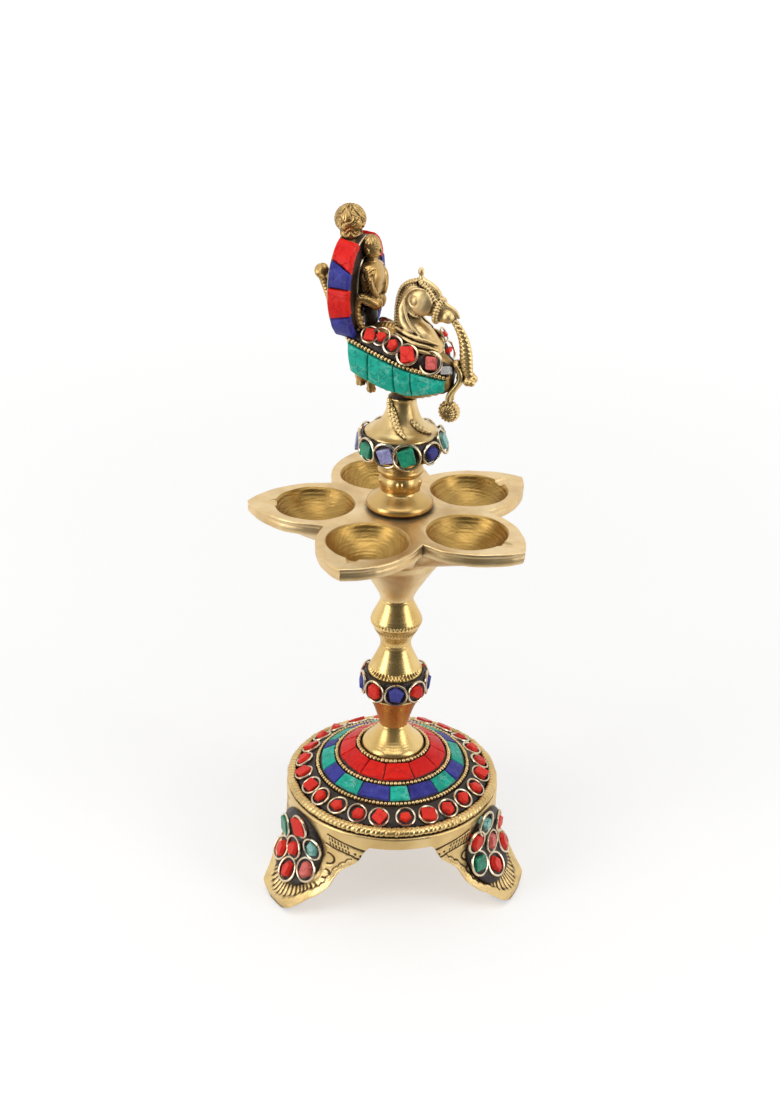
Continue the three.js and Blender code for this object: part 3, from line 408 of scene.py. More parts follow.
def blend_colour(tree, share, a, b):
    return put(tree, "ShaderNodeMix", {0: share, 6: a, 7: b}, out=2, data_type="RGBA")


def spread(tree, value, low, high, to_low=0.0, to_high=1.0):
    return put(tree, "ShaderNodeMapRange", {"Value": value, "From Min": low, "From Max": high,
        "To Min": to_low, "To Max": to_high})


def noise(tree, vector, scale, detail=2.0, rough=0.5, out=0, **settings):
    return put(tree, "ShaderNodeTexNoise", {"Vector": vector, "Scale": scale, "Detail": detail,
        "Roughness": rough}, out=out, **settings)


def colour(rgb):
    """A screen colour from 0 to 255, as the renderer's own linear colour."""
    c = np.array(rgb) / 255
    c = np.where(c <= 0.04045, c / 12.92, ((c + 0.055) / 1.055) ** 2.4)
    return (*c.tolist(), 1.0)


def tinted(rgb, share=(1, 1, 1)):
    return (*(c * k for c, k in zip(rgb, share)), 1.0)


def new_group(name, inputs, outputs, kind="ShaderNodeTree"):
    tree = bpy.data.node_groups.new(name, kind)
    for label, sort, *value in inputs:
        socket = tree.interface.new_socket(label, in_out="INPUT", socket_type=sort)
        if value:
            socket.default_value = value[0]
    for label, sort in outputs:
        tree.interface.new_socket(label, in_out="OUTPUT", socket_type=sort)
    return tree, tree.nodes.new("NodeGroupInput").outputs, tree.nodes.new("NodeGroupOutput").inputs


FLOAT, VECTOR = "NodeSocketFloat", "NodeSocketVector"


def tarnish_group():
    """Where brown tarnish stays: in hollows, broken up by a soft grain."""
    tree, given, give = new_group("tarnish", [("Place", VECTOR), ("Hollow", FLOAT, 0.0),
        ("Size", FLOAT, 400.0), ("Amount", FLOAT, 1.0), ("Film", FLOAT, 0.1)], [("Mask", FLOAT)])
    cloud = noise(tree, given["Place"], given["Size"], 4.0, 0.62)
    film = spread(tree, noise(tree, given["Place"], times(tree, given["Size"], 0.23), 3.0), 0.45,
        0.75)
    hollow = times_plus(tree, calc(tree, "SUBTRACT", cloud, 0.5), 0.7, given["Hollow"])
    deep = times(tree, spread(tree, hollow, 0.28, 0.72), given["Amount"])
    mask = times_plus(tree, film, given["Film"], deep, clamp=True)
    tree.links.new(mask, give["Mask"])
    return tree


def turning_group():
    """Fine rings that a lathe tool leaves round the upright axis."""
    tree, given, give = new_group("turning_rings", [("Place", VECTOR), ("Spacing", FLOAT, 0.0004)],
        [("Height", FLOAT), ("Streak", FLOAT)])
    parts = tree.nodes.new("ShaderNodeSeparateXYZ")
    tree.links.new(given["Place"], parts.inputs[0])
    x, y, z = parts.outputs
    r = calc(tree, "SQRT", calc(tree, "ADD", times(tree, x, x), times(tree, y, y)))
    along = calc(tree, "DIVIDE", times_plus(tree, r, 0.73, z), given["Spacing"])
    fine = put(tree, "ShaderNodeTexNoise", {"W": along, "Scale": 1.0, "Detail": 2.0},
        noise_dimensions="1D")
    broad = put(tree, "ShaderNodeTexNoise", {"W": along, "Scale": 0.21, "Detail": 1.0},
        noise_dimensions="1D")
    tree.links.new(fine, give["Height"])
    tree.links.new(times(tree, fine, broad), give["Streak"])
    return tree


def casting_group():
    """Sand-cast skin: a fine grain with a few pits, and soft hand-filed unevenness."""
    tree, given, give = new_group("casting_skin", [("Place", VECTOR), ("Grain", FLOAT, 2600.0),
        ("Pits", FLOAT, 0.3)], [("Height", FLOAT), ("Rough", FLOAT)])
    grain = noise(tree, given["Place"], given["Grain"], 3.0, 0.6)
    soft = noise(tree, given["Place"], times(tree, given["Grain"], 0.16), 2.0)
    cell = put(tree, "ShaderNodeTexVoronoi", {"Vector": given["Place"],
        "Scale": times(tree, given["Grain"], 0.42)})
    pit = times(tree, spread(tree, cell, 0.0, 0.22, 1.0, 0.0), given["Pits"])
    height = calc(tree, "SUBTRACT", times_plus(tree, soft, 1.6, times(tree, grain, 0.5)), pit)
    tree.links.new(height, give["Height"])
    tree.links.new(spread(tree, grain, 0.3, 0.7), give["Rough"])
    return tree


def stone_group():
    """Cut stone: cloudy shades, pale or dark veins, hairline cracks and a ground surface."""
    tree, given, give = new_group("stone_grain", [("Place", VECTOR), ("Tone", FLOAT, 0.0),
        ("Size", FLOAT, 260.0)], [("Cloud", FLOAT), ("Vein", FLOAT), ("Crack", FLOAT),
        ("Height", FLOAT)])
    shift = put(tree, "ShaderNodeCombineXYZ", {0: times(tree, given["Tone"], 0.13),
        2: times(tree, given["Tone"], 0.071)})
    place = put(tree, "ShaderNodeVectorMath", {0: given["Place"], 1: shift}, operation="ADD")
    cloud = noise(tree, place, given["Size"], 5.0, 0.6)
    bend = noise(tree, place, times(tree, given["Size"], 1.7), 3.0, out=1)
    bent = put(tree, "ShaderNodeVectorMath", {0: place, 1: put(tree, "ShaderNodeVectorMath",
        {0: bend, 1: (0.0032, 0.0032, 0.0032)}, operation="MULTIPLY")}, operation="ADD")
    web = put(tree, "ShaderNodeTexVoronoi", {"Vector": bent, "Scale": times(tree, given["Size"],
        1.15)}, feature="DISTANCE_TO_EDGE")
    patch = spread(tree, noise(tree, place, times(tree, given["Size"], 0.6), 2.0), 0.44, 0.62)
    vein = times(tree, spread(tree, web, 0.01, 0.09, 1.0, 0.0), patch, clamp=True)
    hair = put(tree, "ShaderNodeTexVoronoi", {"Vector": bent, "Scale": times(tree, given["Size"],
        0.55)}, feature="DISTANCE_TO_EDGE")
    crack = spread(tree, hair, 0.004, 0.02, 1.0, 0.0)
    ground = noise(tree, place, times(tree, given["Size"], 9.0), 2.0)
    height = calc(tree, "SUBTRACT", times_plus(tree, cloud, 1.2, times(tree, ground, 0.35)),
        times(tree, crack, 0.5))
    for label, value in (("Cloud", cloud), ("Vein", vein), ("Crack", crack), ("Height", height)):
        tree.links.new(value, give[label])
    return tree


TARNISH, TURNING, CASTING, STONE = (tarnish_group(), turning_group(), casting_group(),
    stone_group())


def group(tree, shared, values):
    return put(tree, "ShaderNodeGroup", values, node_tree=shared).node.outputs


def feed(node, socket, value):
    node.id_data.links.new(value, node.inputs[socket])


def new_material(name):
    material = bpy.data.materials.new(name)
    material.use_nodes = True
    tree = material.node_tree
    tree.nodes.clear()
    shader = tree.nodes.new("ShaderNodeBsdfPrincipled")
    end = tree.nodes.new("ShaderNodeOutputMaterial")
    feed(end, "Surface", shader.outputs[0])
    place = tree.nodes.new("ShaderNodeTexCoord").outputs["Object"]
    return material, tree, shader, place


def bump(tree, shader, height, distance):
    normal = put(tree, "ShaderNodeBump", {"Height": height, "Distance": distance, "Strength": 1.0})
    feed(shader, "Normal", normal)


def hollow_value(tree, reach):
    """How deep in a hollow a point lies, from what is close by and how sharply it dips."""
    near = put(tree, "ShaderNodeAmbientOcclusion", {"Distance": reach}, out=1, samples=6)
    dip = tree.nodes.new("ShaderNodeNewGeometry").outputs["Pointiness"]
    shut = spread(tree, near, 0.35, 0.95, 1.0, 0.0)
    edge = spread(tree, dip, 0.42, 0.5, 1.0, 0.0)
    return calc(tree, "MAXIMUM", shut, times(tree, edge, 0.75))


BROWN = (0.085, 0.045, 0.018)
GRAIN = 2600.0
SKIN_DEPTH = 0.0001


def brass(name, tint, rough, tarnish, film, dark=BROWN, reach=0.0022, rings=0.0, cast=0.5,
        size=420.0, carved=0.0):
    material, tree, shader, place = new_material(name)
    hollow = hollow_value(tree, reach)
    if carved:
        # the carved darkness adds to the hollows: patina in cuts and grooves, and on the base also
        # a painted shadow inside the raised border
        cut = put(tree, "ShaderNodeAttribute", {}, out=2, attribute_name="tone")
        hollow = times_plus(tree, cut, carved, hollow)
    mask = group(tree, TARNISH, {"Place": place, "Hollow": hollow, "Size": size, "Amount": tarnish,
        "Film": film})["Mask"]
    warm = spread(tree, noise(tree, place, 95.0, 2.0), 0.35, 0.65)
    body = blend_colour(tree, warm, tinted(tint), tinted(tint, (0.93, 0.87, 0.74)))
    feed(shader, "Base Color", blend_colour(tree, mask, body, tinted(dark)))
    feed(shader, "Metallic", times_plus(tree, mask, -0.55, 1.0))
    skin = group(tree, CASTING, {"Place": place, "Grain": GRAIN, "Pits": 0.4})
    shine = times_plus(tree, skin["Rough"], 0.09, rough - 0.03)
    height = times(tree, skin["Height"], cast)
    if rings:
        line = group(tree, TURNING, {"Place": place, "Spacing": 0.00034})
        height = times_plus(tree, line["Height"], rings, height)
        shine = times_plus(tree, line["Streak"], 0.16, shine)
    feed(shader, "Roughness", times_plus(tree, mask, 0.3, shine))
    bump(tree, shader, height, SKIN_DEPTH)
    return material


def plate_finish():
    """Pale matte brass outside; the cups are darker, with fine turned scratches."""
    material, tree, shader, place = new_material("plate_brass")
    cup = put(tree, "ShaderNodeAttribute", {}, out=2, attribute_name="cup")
    ring = put(tree, "ShaderNodeAttribute", {}, out=2, attribute_name="cup_ring")
    slow = put(tree, "ShaderNodeVectorMath", {0: place, 1: (70.0, 70.0, 70.0)},
        operation="MULTIPLY")
    scratch = put(tree, "ShaderNodeTexNoise", {"Vector": slow, "W": times(tree, ring, 2.6),
        "Scale": 1.0, "Detail": 4.0, "Roughness": 0.7}, noise_dimensions="4D")
    scratch = spread(tree, scratch, 0.3, 0.7)
    hollow = hollow_value(tree, 0.0022)
    mask = group(tree, TARNISH, {"Place": place, "Hollow": hollow, "Size": 420.0, "Amount": 0.8,
        "Film": 0.2})["Mask"]
    cloud = spread(tree, noise(tree, place, 110.0, 4.0, 0.6), 0.35, 0.65)
    pale = blend_colour(tree, cloud, tinted((0.88, 0.68, 0.38)), tinted((0.76, 0.53, 0.25)))
    olive = blend_colour(tree, scratch, tinted((0.36, 0.205, 0.05)), tinted((0.58, 0.375, 0.115)))
    body = blend_colour(tree, cup, pale, olive)
    feed(shader, "Base Color", blend_colour(tree, mask, body, tinted(BROWN)))
    feed(shader, "Metallic", times_plus(tree, mask, -0.55, 1.0))
    skin = group(tree, CASTING, {"Place": place, "Grain": GRAIN, "Pits": 0.4})
    matte = times_plus(tree, skin["Rough"], 0.1, 0.36)
    matte = times_plus(tree, mask, 0.25, matte)
    feed(shader, "Roughness", times_plus(tree, cup, -0.06, matte))
    lines = times(tree, times(tree, scratch, cup), 0.5)
    bump(tree, shader, times_plus(tree, skin["Height"], 0.4, lines), SKIN_DEPTH)
    return material


def stone(name, body, deep, pale, veins, rough, size=260.0, cracks=0.6, sheen=0.5):
    body, deep, pale = colour(body), colour(deep), colour(pale)
    material, tree, shader, place = new_material(name)
    tone = put(tree, "ShaderNodeAttribute", {}, out=2, attribute_name="tone")
    grain = group(tree, STONE, {"Place": place, "Tone": tone, "Size": size})
    shade = spread(tree, times_plus(tree, tone, 0.16, grain["Cloud"]), 0.32, 0.7)
    base = blend_colour(tree, shade, deep, body)
    base = blend_colour(tree, times(tree, grain["Vein"], veins), base, pale)
    # Paler on sharp edges: partly edge wear, partly a painted highlight on edges that have no
    # bevel to catch the light
    chip = tree.nodes.new("ShaderNodeNewGeometry").outputs["Pointiness"]
    edge_wear_and_highlight = times(tree, spread(tree, chip, 0.53, 0.62), 0.35)
    base = blend_colour(tree, edge_wear_and_highlight, base, pale)
    dark = tinted(deep, (0.25, 0.25, 0.25))
    base = blend_colour(tree, times(tree, grain["Crack"], cracks), base, dark)
    feed(shader, "Base Color", base)
    feed(shader, "Roughness", spread(tree, grain["Cloud"], 0.3, 0.7, rough - 0.07, rough + 0.1))
    shader.inputs["Specular IOR Level"].default_value = sheen
    bump(tree, shader, grain["Height"], 0.00022)
    return material


def lac_finish(name, body, rough):
    body = colour(body)
    material, tree, shader, place = new_material(name)
    lump = noise(tree, place, 620.0, 4.0, 0.6)
    dust = spread(tree, noise(tree, place, 1700.0, 3.0, 0.7), 0.52, 0.72)
    brown = tinted(body, (3.4, 2.5, 2.0))
    feed(shader, "Base Color", blend_colour(tree, times(tree, dust, 0.6), body, brown))
    feed(shader, "Roughness", spread(tree, lump, 0.3, 0.7, rough - 0.12, rough + 0.16))
    bump(tree, shader, lump, 0.0005)
    return material


turned_brass = brass("turned_brass", (0.84, 0.60, 0.245), 0.24, 0.85, 0.16, rings=0.2, cast=0.06)
bowl_brass = brass("bowl_brass", (0.68, 0.46, 0.18), 0.26, 0.9, 0.3, rings=0.2, cast=0.1)
plate_brass = plate_finish()
base_brass = brass("base_brass", (0.84, 0.625, 0.30), 0.34, 0.95, 0.17, carved=0.9)
cast_brass = brass("cast_brass", (0.84, 0.635, 0.31), 0.32, 1.0, 0.28, reach=0.0024, size=700.0)
# A paler copy of cast_brass for the head, neck and pedestal ridges: the paler tint is a painted
# highlight
painted_highlight_brass = brass("painted_highlight_brass", (0.93, 0.73, 0.40), 0.42, 1.0, 0.2, size=700.0)
old_brass = brass("old_brass", (0.64, 0.43, 0.175), 0.32, 1.0, 0.55, size=800.0)
rope_brass = brass("rope_brass", (0.80, 0.585, 0.265), 0.27, 1.0, 0.25, cast=0.3, reach=0.0012,
    carved=0.8)
bead_brass = brass("bead_brass", (0.84, 0.625, 0.31), 0.25, 1.0, 0.15, cast=0.2, reach=0.0009)
wire_brass = brass("wire_brass", (0.80, 0.70, 0.53), 0.22, 0.7, 0.2, (0.09, 0.06, 0.04), cast=0.2,
    reach=0.0009)
rod_steel = brass("rod_steel", (0.52, 0.52, 0.53), 0.36, 0.6, 0.25, (0.12, 0.08, 0.05), cast=0.4)
black_lac = lac_finish("black_lac", (32, 18, 12), 0.38)

coral = stone("coral_stone", (246, 32, 20), (226, 16, 12), (246, 96, 72), 0.14, 0.36, cracks=0.2,
    sheen=0.25)
lapis = stone("lapis_stone", (64, 66, 166), (38, 36, 124), (112, 116, 190), 0.22, 0.42, cracks=0.3,
    sheen=0.25)
turquoise = stone("turquoise_stone", (30, 200, 174), (8, 166, 142), (170, 230, 214), 0.46, 0.42,
    size=330.0, cracks=0.3, sheen=0.25)
pale_chip = stone("pale_chips", (206, 206, 202), (168, 170, 170), (236, 236, 232), 0.4, 0.2, 420)
emerald_chip = stone("green_chips", (10, 150, 112), (4, 92, 66), (70, 190, 150), 0.4, 0.2, 420)
aqua_chip = stone("aqua_chips", (108, 196, 186), (70, 168, 156), (206, 236, 228), 0.6, 0.3, 420)
lavender_chip = stone("lavender_chips", (150, 148, 206), (110, 106, 176), (214, 214, 240), 0.5,
    0.25, 420)
pink_chip = stone("pink_coral_chips", (232, 92, 84), (214, 60, 56), (246, 160, 146), 0.4, 0.34,
    420)


# Repeated shapes, laid out by geometry nodes

def tree_of(name, inputs):
    shape = ("Geometry", "NodeSocketGeometry")
    return new_group(name, [shape, *inputs, ("Finish", "NodeSocketMaterial")], [shape],
        "GeometryNodeTree")


def close_tree(tree, given, give, instances):
    real = put(tree, "GeometryNodeRealizeInstances", {0: instances})
    dressed = put(tree, "GeometryNodeSetMaterial", {"Geometry": real, "Material": given["Finish"]})
    tree.links.new(dressed, give["Geometry"])
    return tree


INT = "NodeSocketInt"


def bead_row_tree():
    """Small balls side by side along a path, each a little bigger or smaller."""
    tree, given, give = tree_of("bead_row", [("Bead Radius", FLOAT, 0.0006),
        ("Spacing", FLOAT, 0.00125), ("Unevenness", FLOAT, 0.1), ("Seed", INT, 1)])
    path = put(tree, "GeometryNodeMeshToCurve", {0: given["Geometry"]})
    points = put(tree, "GeometryNodeResampleCurve", {"Curve": path, "Length": given["Spacing"]},
        mode="LENGTH")
    bead = put(tree, "GeometryNodeMeshUVSphere", {"Segments": 8, "Rings": 6,
        "Radius": given["Bead Radius"]})
    size = put(tree, "FunctionNodeRandomValue",
        {2: calc(tree, "SUBTRACT", 1.0, given["Unevenness"]), 3: calc(tree, "ADD", 1.0,
        given["Unevenness"]), "Seed": given["Seed"]}, out=1, data_type="FLOAT")
    shape = put(tree, "ShaderNodeCombineXYZ", {0: size, 1: size, 2: size})
    rows = put(tree, "GeometryNodeInstanceOnPoints", {"Points": points, "Instance": bead,
        "Scale": shape})
    return close_tree(tree, given, give, rows)


def wire_cell_tree():
    """Rings of round wire that stand on a surface, each bent a little out of round."""
    tree, given, give = tree_of("wire_cells", [("Ring Radius", FLOAT, 0.003),
        ("Wire Radius", FLOAT, 0.0003), ("Unevenness", FLOAT, 0.05), ("Seed", INT, 1)])
    circle = put(tree, "GeometryNodeCurvePrimitiveCircle",
        {"Resolution": 40, "Radius": given["Ring Radius"]})
    section = put(tree, "GeometryNodeCurvePrimitiveCircle",
        {"Resolution": 8, "Radius": given["Wire Radius"]})
    ring = put(tree, "GeometryNodeCurveToMesh", {"Curve": circle, "Profile Curve": section})
    out = put(tree, "GeometryNodeInputNamedAttribute", {"Name": "out"}, data_type="FLOAT_VECTOR")
    turn = put(tree, "FunctionNodeAlignRotationToVector", {"Vector": out}, axis="Z")
    size = put(tree, "GeometryNodeInputNamedAttribute", {"Name": "size"}, data_type="FLOAT")
    low = calc(tree, "SUBTRACT", size, given["Unevenness"])
    high = calc(tree, "ADD", size, given["Unevenness"])
    wide, tall = (put(tree, "FunctionNodeRandomValue",
        {2: low, 3: high, "Seed": calc(tree, "ADD", given["Seed"], k)}, out=1, data_type="FLOAT")
        for k in (0, 7))
    shape = put(tree, "ShaderNodeCombineXYZ", {0: wide, 1: tall, 2: times(tree, size, 1.15)})
    rings = put(tree, "GeometryNodeInstanceOnPoints", {"Points": given["Geometry"],
        "Instance": ring, "Rotation": turn, "Scale": shape})
    spin = put(tree, "FunctionNodeRandomValue", {2: -3.1, 3: 3.1, "Seed": given["Seed"]}, out=1,
        data_type="FLOAT")
    rings = put(tree, "GeometryNodeRotateInstances",
        {"Instances": rings, "Rotation": put(tree, "ShaderNodeCombineXYZ", {2: spin})})
    return close_tree(tree, given, give, rings)


BEAD_ROW, WIRE_CELLS = bead_row_tree(), wire_cell_tree()


def grown(name, start, tree, settings, finish):
    """The plain mesh that a tree makes from a starting mesh."""
    obj = new_object(start, name + "_start")
    modifier = obj.modifiers.new("rows", "NODES")
    modifier.node_group = tree
    for item in tree.interface.items_tree:
        if item.item_type == "SOCKET" and item.in_out == "INPUT":
            if item.name in settings:
                modifier[item.identifier] = settings[item.name]
            elif item.name == "Finish":
                modifier[item.identifier] = finish
    obj.update_tag()
    mesh = made_by_modifiers(obj)
    mesh.name = name
    bpy.data.objects.remove(obj)
    return mesh


def joined(name, meshes):
    bm = bmesh.new()
    for mesh in meshes:
        bm.from_mesh(mesh)
    result = bpy.data.meshes.new(name)
    bm.to_mesh(result)
    bm.free()
    return result


def path_mesh(name, points, closed=False):
    points = np.asarray(points, float)
    edges = [(i, i + 1) for i in range(len(points) - 1)]
    if closed:
        edges.append((len(points) - 1, 0))
    mesh = bpy.data.meshes.new(name)
    mesh.from_pydata((points * MM).tolist(), edges, [])
    return mesh


def bead_row(name, points, radius, spacing, seed, closed=False):
    return grown(name, path_mesh(name + "_path", points, closed), BEAD_ROW,
        {"Bead Radius": radius * MM, "Spacing": spacing * MM, "Unevenness": 0.16, "Seed": seed},
        bead_brass)


def wire_cells(name, body, places, ring, wire, seed, uneven=0.05, sizes=None):
    """Rings at places, each a (centre, outward) pair; sizes grow or shrink each ring."""
    mesh = bpy.data.meshes.new(name + "_places")
    mesh.from_pydata([tuple(np.asarray(c) * MM) for c, n in places], [], [])
    layer = mesh.attributes.new("out", "FLOAT_VECTOR", "POINT")
    layer.data.foreach_set("vector", np.array([n for c, n in places], np.float32).ravel())
    layer = mesh.attributes.new("size", "FLOAT", "POINT")
    layer.data.foreach_set("value", np.array(sizes or [1.0] * len(places), np.float32))
    rings = grown(name, mesh, WIRE_CELLS, {"Ring Radius": ring * MM, "Wire Radius": wire * MM,
        "Unevenness": uneven, "Seed": seed}, wire_brass)
    finish_piece(new_object(rings), body, wire_brass)


def round_row(a, r, z):
    """Points at azimuths a, in radians, with a radius and a height for each or for all."""
    return polar(a, np.broadcast_to(r, len(a)), np.broadcast_to(z, len(a)))


# Chips: small broken stones with blunt corners

def unit(v):
    v = np.asarray(v, float)
    return v / norm(v)


def blunted(outline, cut=0.25):
    nxt = np.roll(outline, -1, axis=0)
    return np.stack([outline * (1 - cut) + nxt * cut, outline * cut + nxt * (1 - cut)],
        axis=1).reshape(-1, 2)


def add_facets(shells, points, tone):
    """The flat-faced solid round a few points."""
    bm = bmesh.new()
    for p in points:
        bm.verts.new(p)
    made = bmesh.ops.convex_hull(bm, input=bm.verts)
    spare = [v for v in made["geom_interior"] if isinstance(v, bmesh.types.BMVert)]
    bmesh.ops.delete(bm, geom=list(set(spare)), context="VERTS")
    bmesh.ops.triangulate(bm, faces=bm.faces)
    bm.verts.index_update()
    tris = [[v.index for v in face.verts] for face in bm.faces]
    shells.add(np.array([v.co for v in bm.verts]), (), np.array(tris), tone)
    bm.free()


def add_chip(shells, centre, out, up, size, height, rng, square=False, tone=0.0):
    """size is (half width, half length); the chip stands on its centre point."""
    out = unit(out)
    across = unit(np.cross(up, out))
    along = np.cross(out, across)
    if square:
        corners = np.array([[-1, -1], [1, -1], [1, 1], [-1, 1]], float)
        corners += rng.uniform(-0.1, 0.1, corners.shape)
        shoulder, top = 0.92, 0.9
    else:
        n = rng.integers(5, 7)
        a = full_circle(n) + rng.uniform(0, 6.28) + rng.uniform(-0.2, 0.2, n)
        corners = side_by_side(cos(a), sin(a)) * rng.uniform(1.0, 1.16, (n, 1))
        shoulder, top = 0.5, 0.74
    corners = blunted(corners, 0.07) * np.asarray(size)
    lean = rng.uniform(-0.2, 0.2, 2) * height / np.asarray(size)
    rows = []
    for share, level, loose in ((0.96, -0.5, 0), (1.0, 0.1, 0), (1.0, shoulder, 0.1),
            (top, 1.0, 0.03)):
        flat = corners * share
        wander = 0 if square else rng.uniform(-loose, loose, len(flat))
        rise = height * (level + wander) + (flat @ lean) * max(level, 0)
        rows.append(np.asarray(centre) + flat[:, :1] * across + flat[:, 1:] * along + rise[:,
            None] * out)
    add_facets(shells, np.concatenate(rows), tone)
    return shells


# Base casting: the dome, the drum wall and three flared legs, one skin

LEG_EDGE = np.array([(0, 0), (4.2, 0), (8, 0.06), (12.7, 0.16), (15.8, 0.235), (19.5, 0.3),
    (23, 0.39), (24.2, 0.47), (27, 0.59), (31, 0.665), (36.6, 0.76), (38.5, 0.82), (40.2, 0.91),
    (43.5, 1), (60, 1)])
LIP_H = 3.6
PANEL_Z = 19.0
PANEL_HALF_W = 11.4
PANEL_HALF_H = 11.9
PANEL_TURNS = (-3, 0, -1.6)
BORDER_W = 3.6


def arch_z(offset):
    fine = np.linspace(-60, 60, 1201)
    z = np.interp(np.abs(fine), LEG_EDGE[:, 0], LEG_EDGE[:, 1]) * ARCH_H
    kernel = np.exp(-(np.arange(-15, 16) / 5.0) ** 2)
    soft = np.convolve(np.pad(z, 15, mode="edge"), kernel / kernel.sum(), mode="valid")
    soft = np.where(np.abs(fine) < 4.0, 0.0, soft)
    return np.interp(offset, fine, soft)


def leg_r(z):
    """Outside of the wall: a flare that ends in an upright lip."""
    z = np.asarray(z, float)
    t = held((FLARE_H - z) / (FLARE_H - LIP_H))
    flare = DRUM_R + (TOE_REACH - 0.7) * t ** 2.05
    return np.where(z < LIP_H, flare - 0.25 * ((LIP_H - z) / LIP_H) ** 2, flare)


def slope_length(z):
    zs = np.linspace(0, RIM_Z, 400)
    rs = leg_r(zs)
    s = np.concatenate([[0], np.cumsum(np.hypot(np.diff(zs), np.diff(rs)))])
    return np.interp(z, zs, s)


def line_cut(distance, width):
    return np.exp(-(distance / width) ** 2)


def segment_distance(u, v, a, b):
    a, b = np.asarray(a, float), np.asarray(b, float)
    d = b - a
    t = held(((u - a[0]) * d[0] + (v - a[1]) * d[1]) / (d @ d))
    return np.hypot(u - a[0] - t * d[0], v - a[1] - t * d[1])


def leg_carving(offset, z):
    """Depth of the cuts on a leg, and how dark they are, at degrees off its middle."""
    r = leg_r(z)
    u = np.radians(offset) * r
    v = slope_length(z)
    # nearest point of the lower edge
    oe = np.linspace(-52, 52, 500)
    ze = arch_z(oe)
    ue, ve = np.radians(oe) * leg_r(ze), slope_length(ze)
    le = np.concatenate([[0], np.cumsum(np.hypot(np.diff(ue), np.diff(ve)))])
    near = np.empty(u.shape, int)
    for i in range(len(u)):
        near[i] = ((u[i][:, None] - ue) ** 2 + (v[i][:, None] - ve) ** 2).argmin(axis=-1)
    d, run = np.hypot(u - ue[near], v - ve[near]), le[near]
    low = held((25.0 - ze[near]) / 5.0)
    depth, dark = np.zeros_like(u), np.zeros_like(u)

    def cut(mask, deep, brown):
        depth[:] += deep * mask
        dark[:] += brown * mask

    # a raised, scalloped border along the lower edge, cut across with fine lines
    wide = 1.7 + (BORDER_W - 1.7) * held((15 - ze[near]) / 12.0)
    wave = wide + 0.55 * np.abs(sin(pi * run / 2.9)) - 0.3
    edge = held((d - wave) / 0.3) * low
    fade = held(1 - (d - wave) / 6.5)
    cut(edge * fade, 0.6, 0)
    # a dark band just inside the raised border: painted shadow at the foot of its edge
    dark += 0.55 * held(1 - np.abs(d - wave - 0.35) / 0.45) * low
    hatch = (0.5 + 0.5 * cos(2 * pi * run / 0.95)) * (d < wave - 0.35) * (d > 0.5) * low
    cut(hatch, 0.14, 0.22)
    # pleats that fan out from under the panel to the border
    middle = slope_length(PANEL_Z) - 3.0
    fan = np.arctan2(u, middle - v)
    reach = np.hypot(u / (PANEL_HALF_W + 0.4), (v - slope_length(PANEL_Z)) / (PANEL_HALF_H + 0.5))
    under = (held((reach - 1.0) / 0.1) * held((d - wave) / 0.4) * held((13.0 - z) / 3.0) *
        held((1.25 - np.abs(fan)) / 0.1))
    pleat = (0.5 + 0.5 * cos(fan * 54 + 0.8 * sin(fan * 9))) ** 2.2
    cut(pleat * under, 0.45, 0.7)
    # hatched band from the panel to the arch, and a tongue below it, on both sides
    side = np.abs(u)
    top = slope_length(27.8)
    start, end = np.array([11.4, top - 0.6]), np.array([24.8, top - 3.0])
    step = (end - start) / norm(end - start)
    across = np.array([-step[1], step[0]])
    for shift in (1.85, -1.85):
        line = line_cut(segment_distance(side, v, start + across * shift, end + across * shift),
            0.3)
        cut(line, 0.38, 1.1)
    along = (side - start[0]) * step[0] + (v - start[1]) * step[1]
    off = (side - start[0]) * across[0] + (v - start[1]) * across[1]
    rows = (np.abs(np.abs(off) - 0.8) < 0.5) & (along > 0.8) & (along < 8.6)
    marks = (0.5 + 0.5 * cos(2 * pi * (along + 0.4 * off) / 1.15)) ** 2 * rows
    cut(marks, 0.3, 1)
    for k in (10.4, 12.2):
        spot = start + step * k
        drill = line_cut(np.hypot(side - spot[0], v - spot[1] + 0.5), 0.45)
        cut(drill, 0.35, 1.1)
    for height, size in ((20.0, 2.0), (14.6, 1.5)):
        mid = (11.9 + (height < 18) * 0.2, slope_length(height))
        ring = np.abs(np.hypot((side - mid[0]) * 0.85, v - mid[1]) - size)
        tongue = line_cut(ring, 0.28) * (side > mid[0] - 0.4) * (d > wave + 0.4)
        cut(tongue, 0.36, 1)
    # a few hammered specks of old polish in the low places
    flat = side_by_side(u, v, z * 0)
    dark += 0.35 * held(ripple(flat, 2.2, 31) - 0.55) * (z < 29)
    return depth, held(dark)


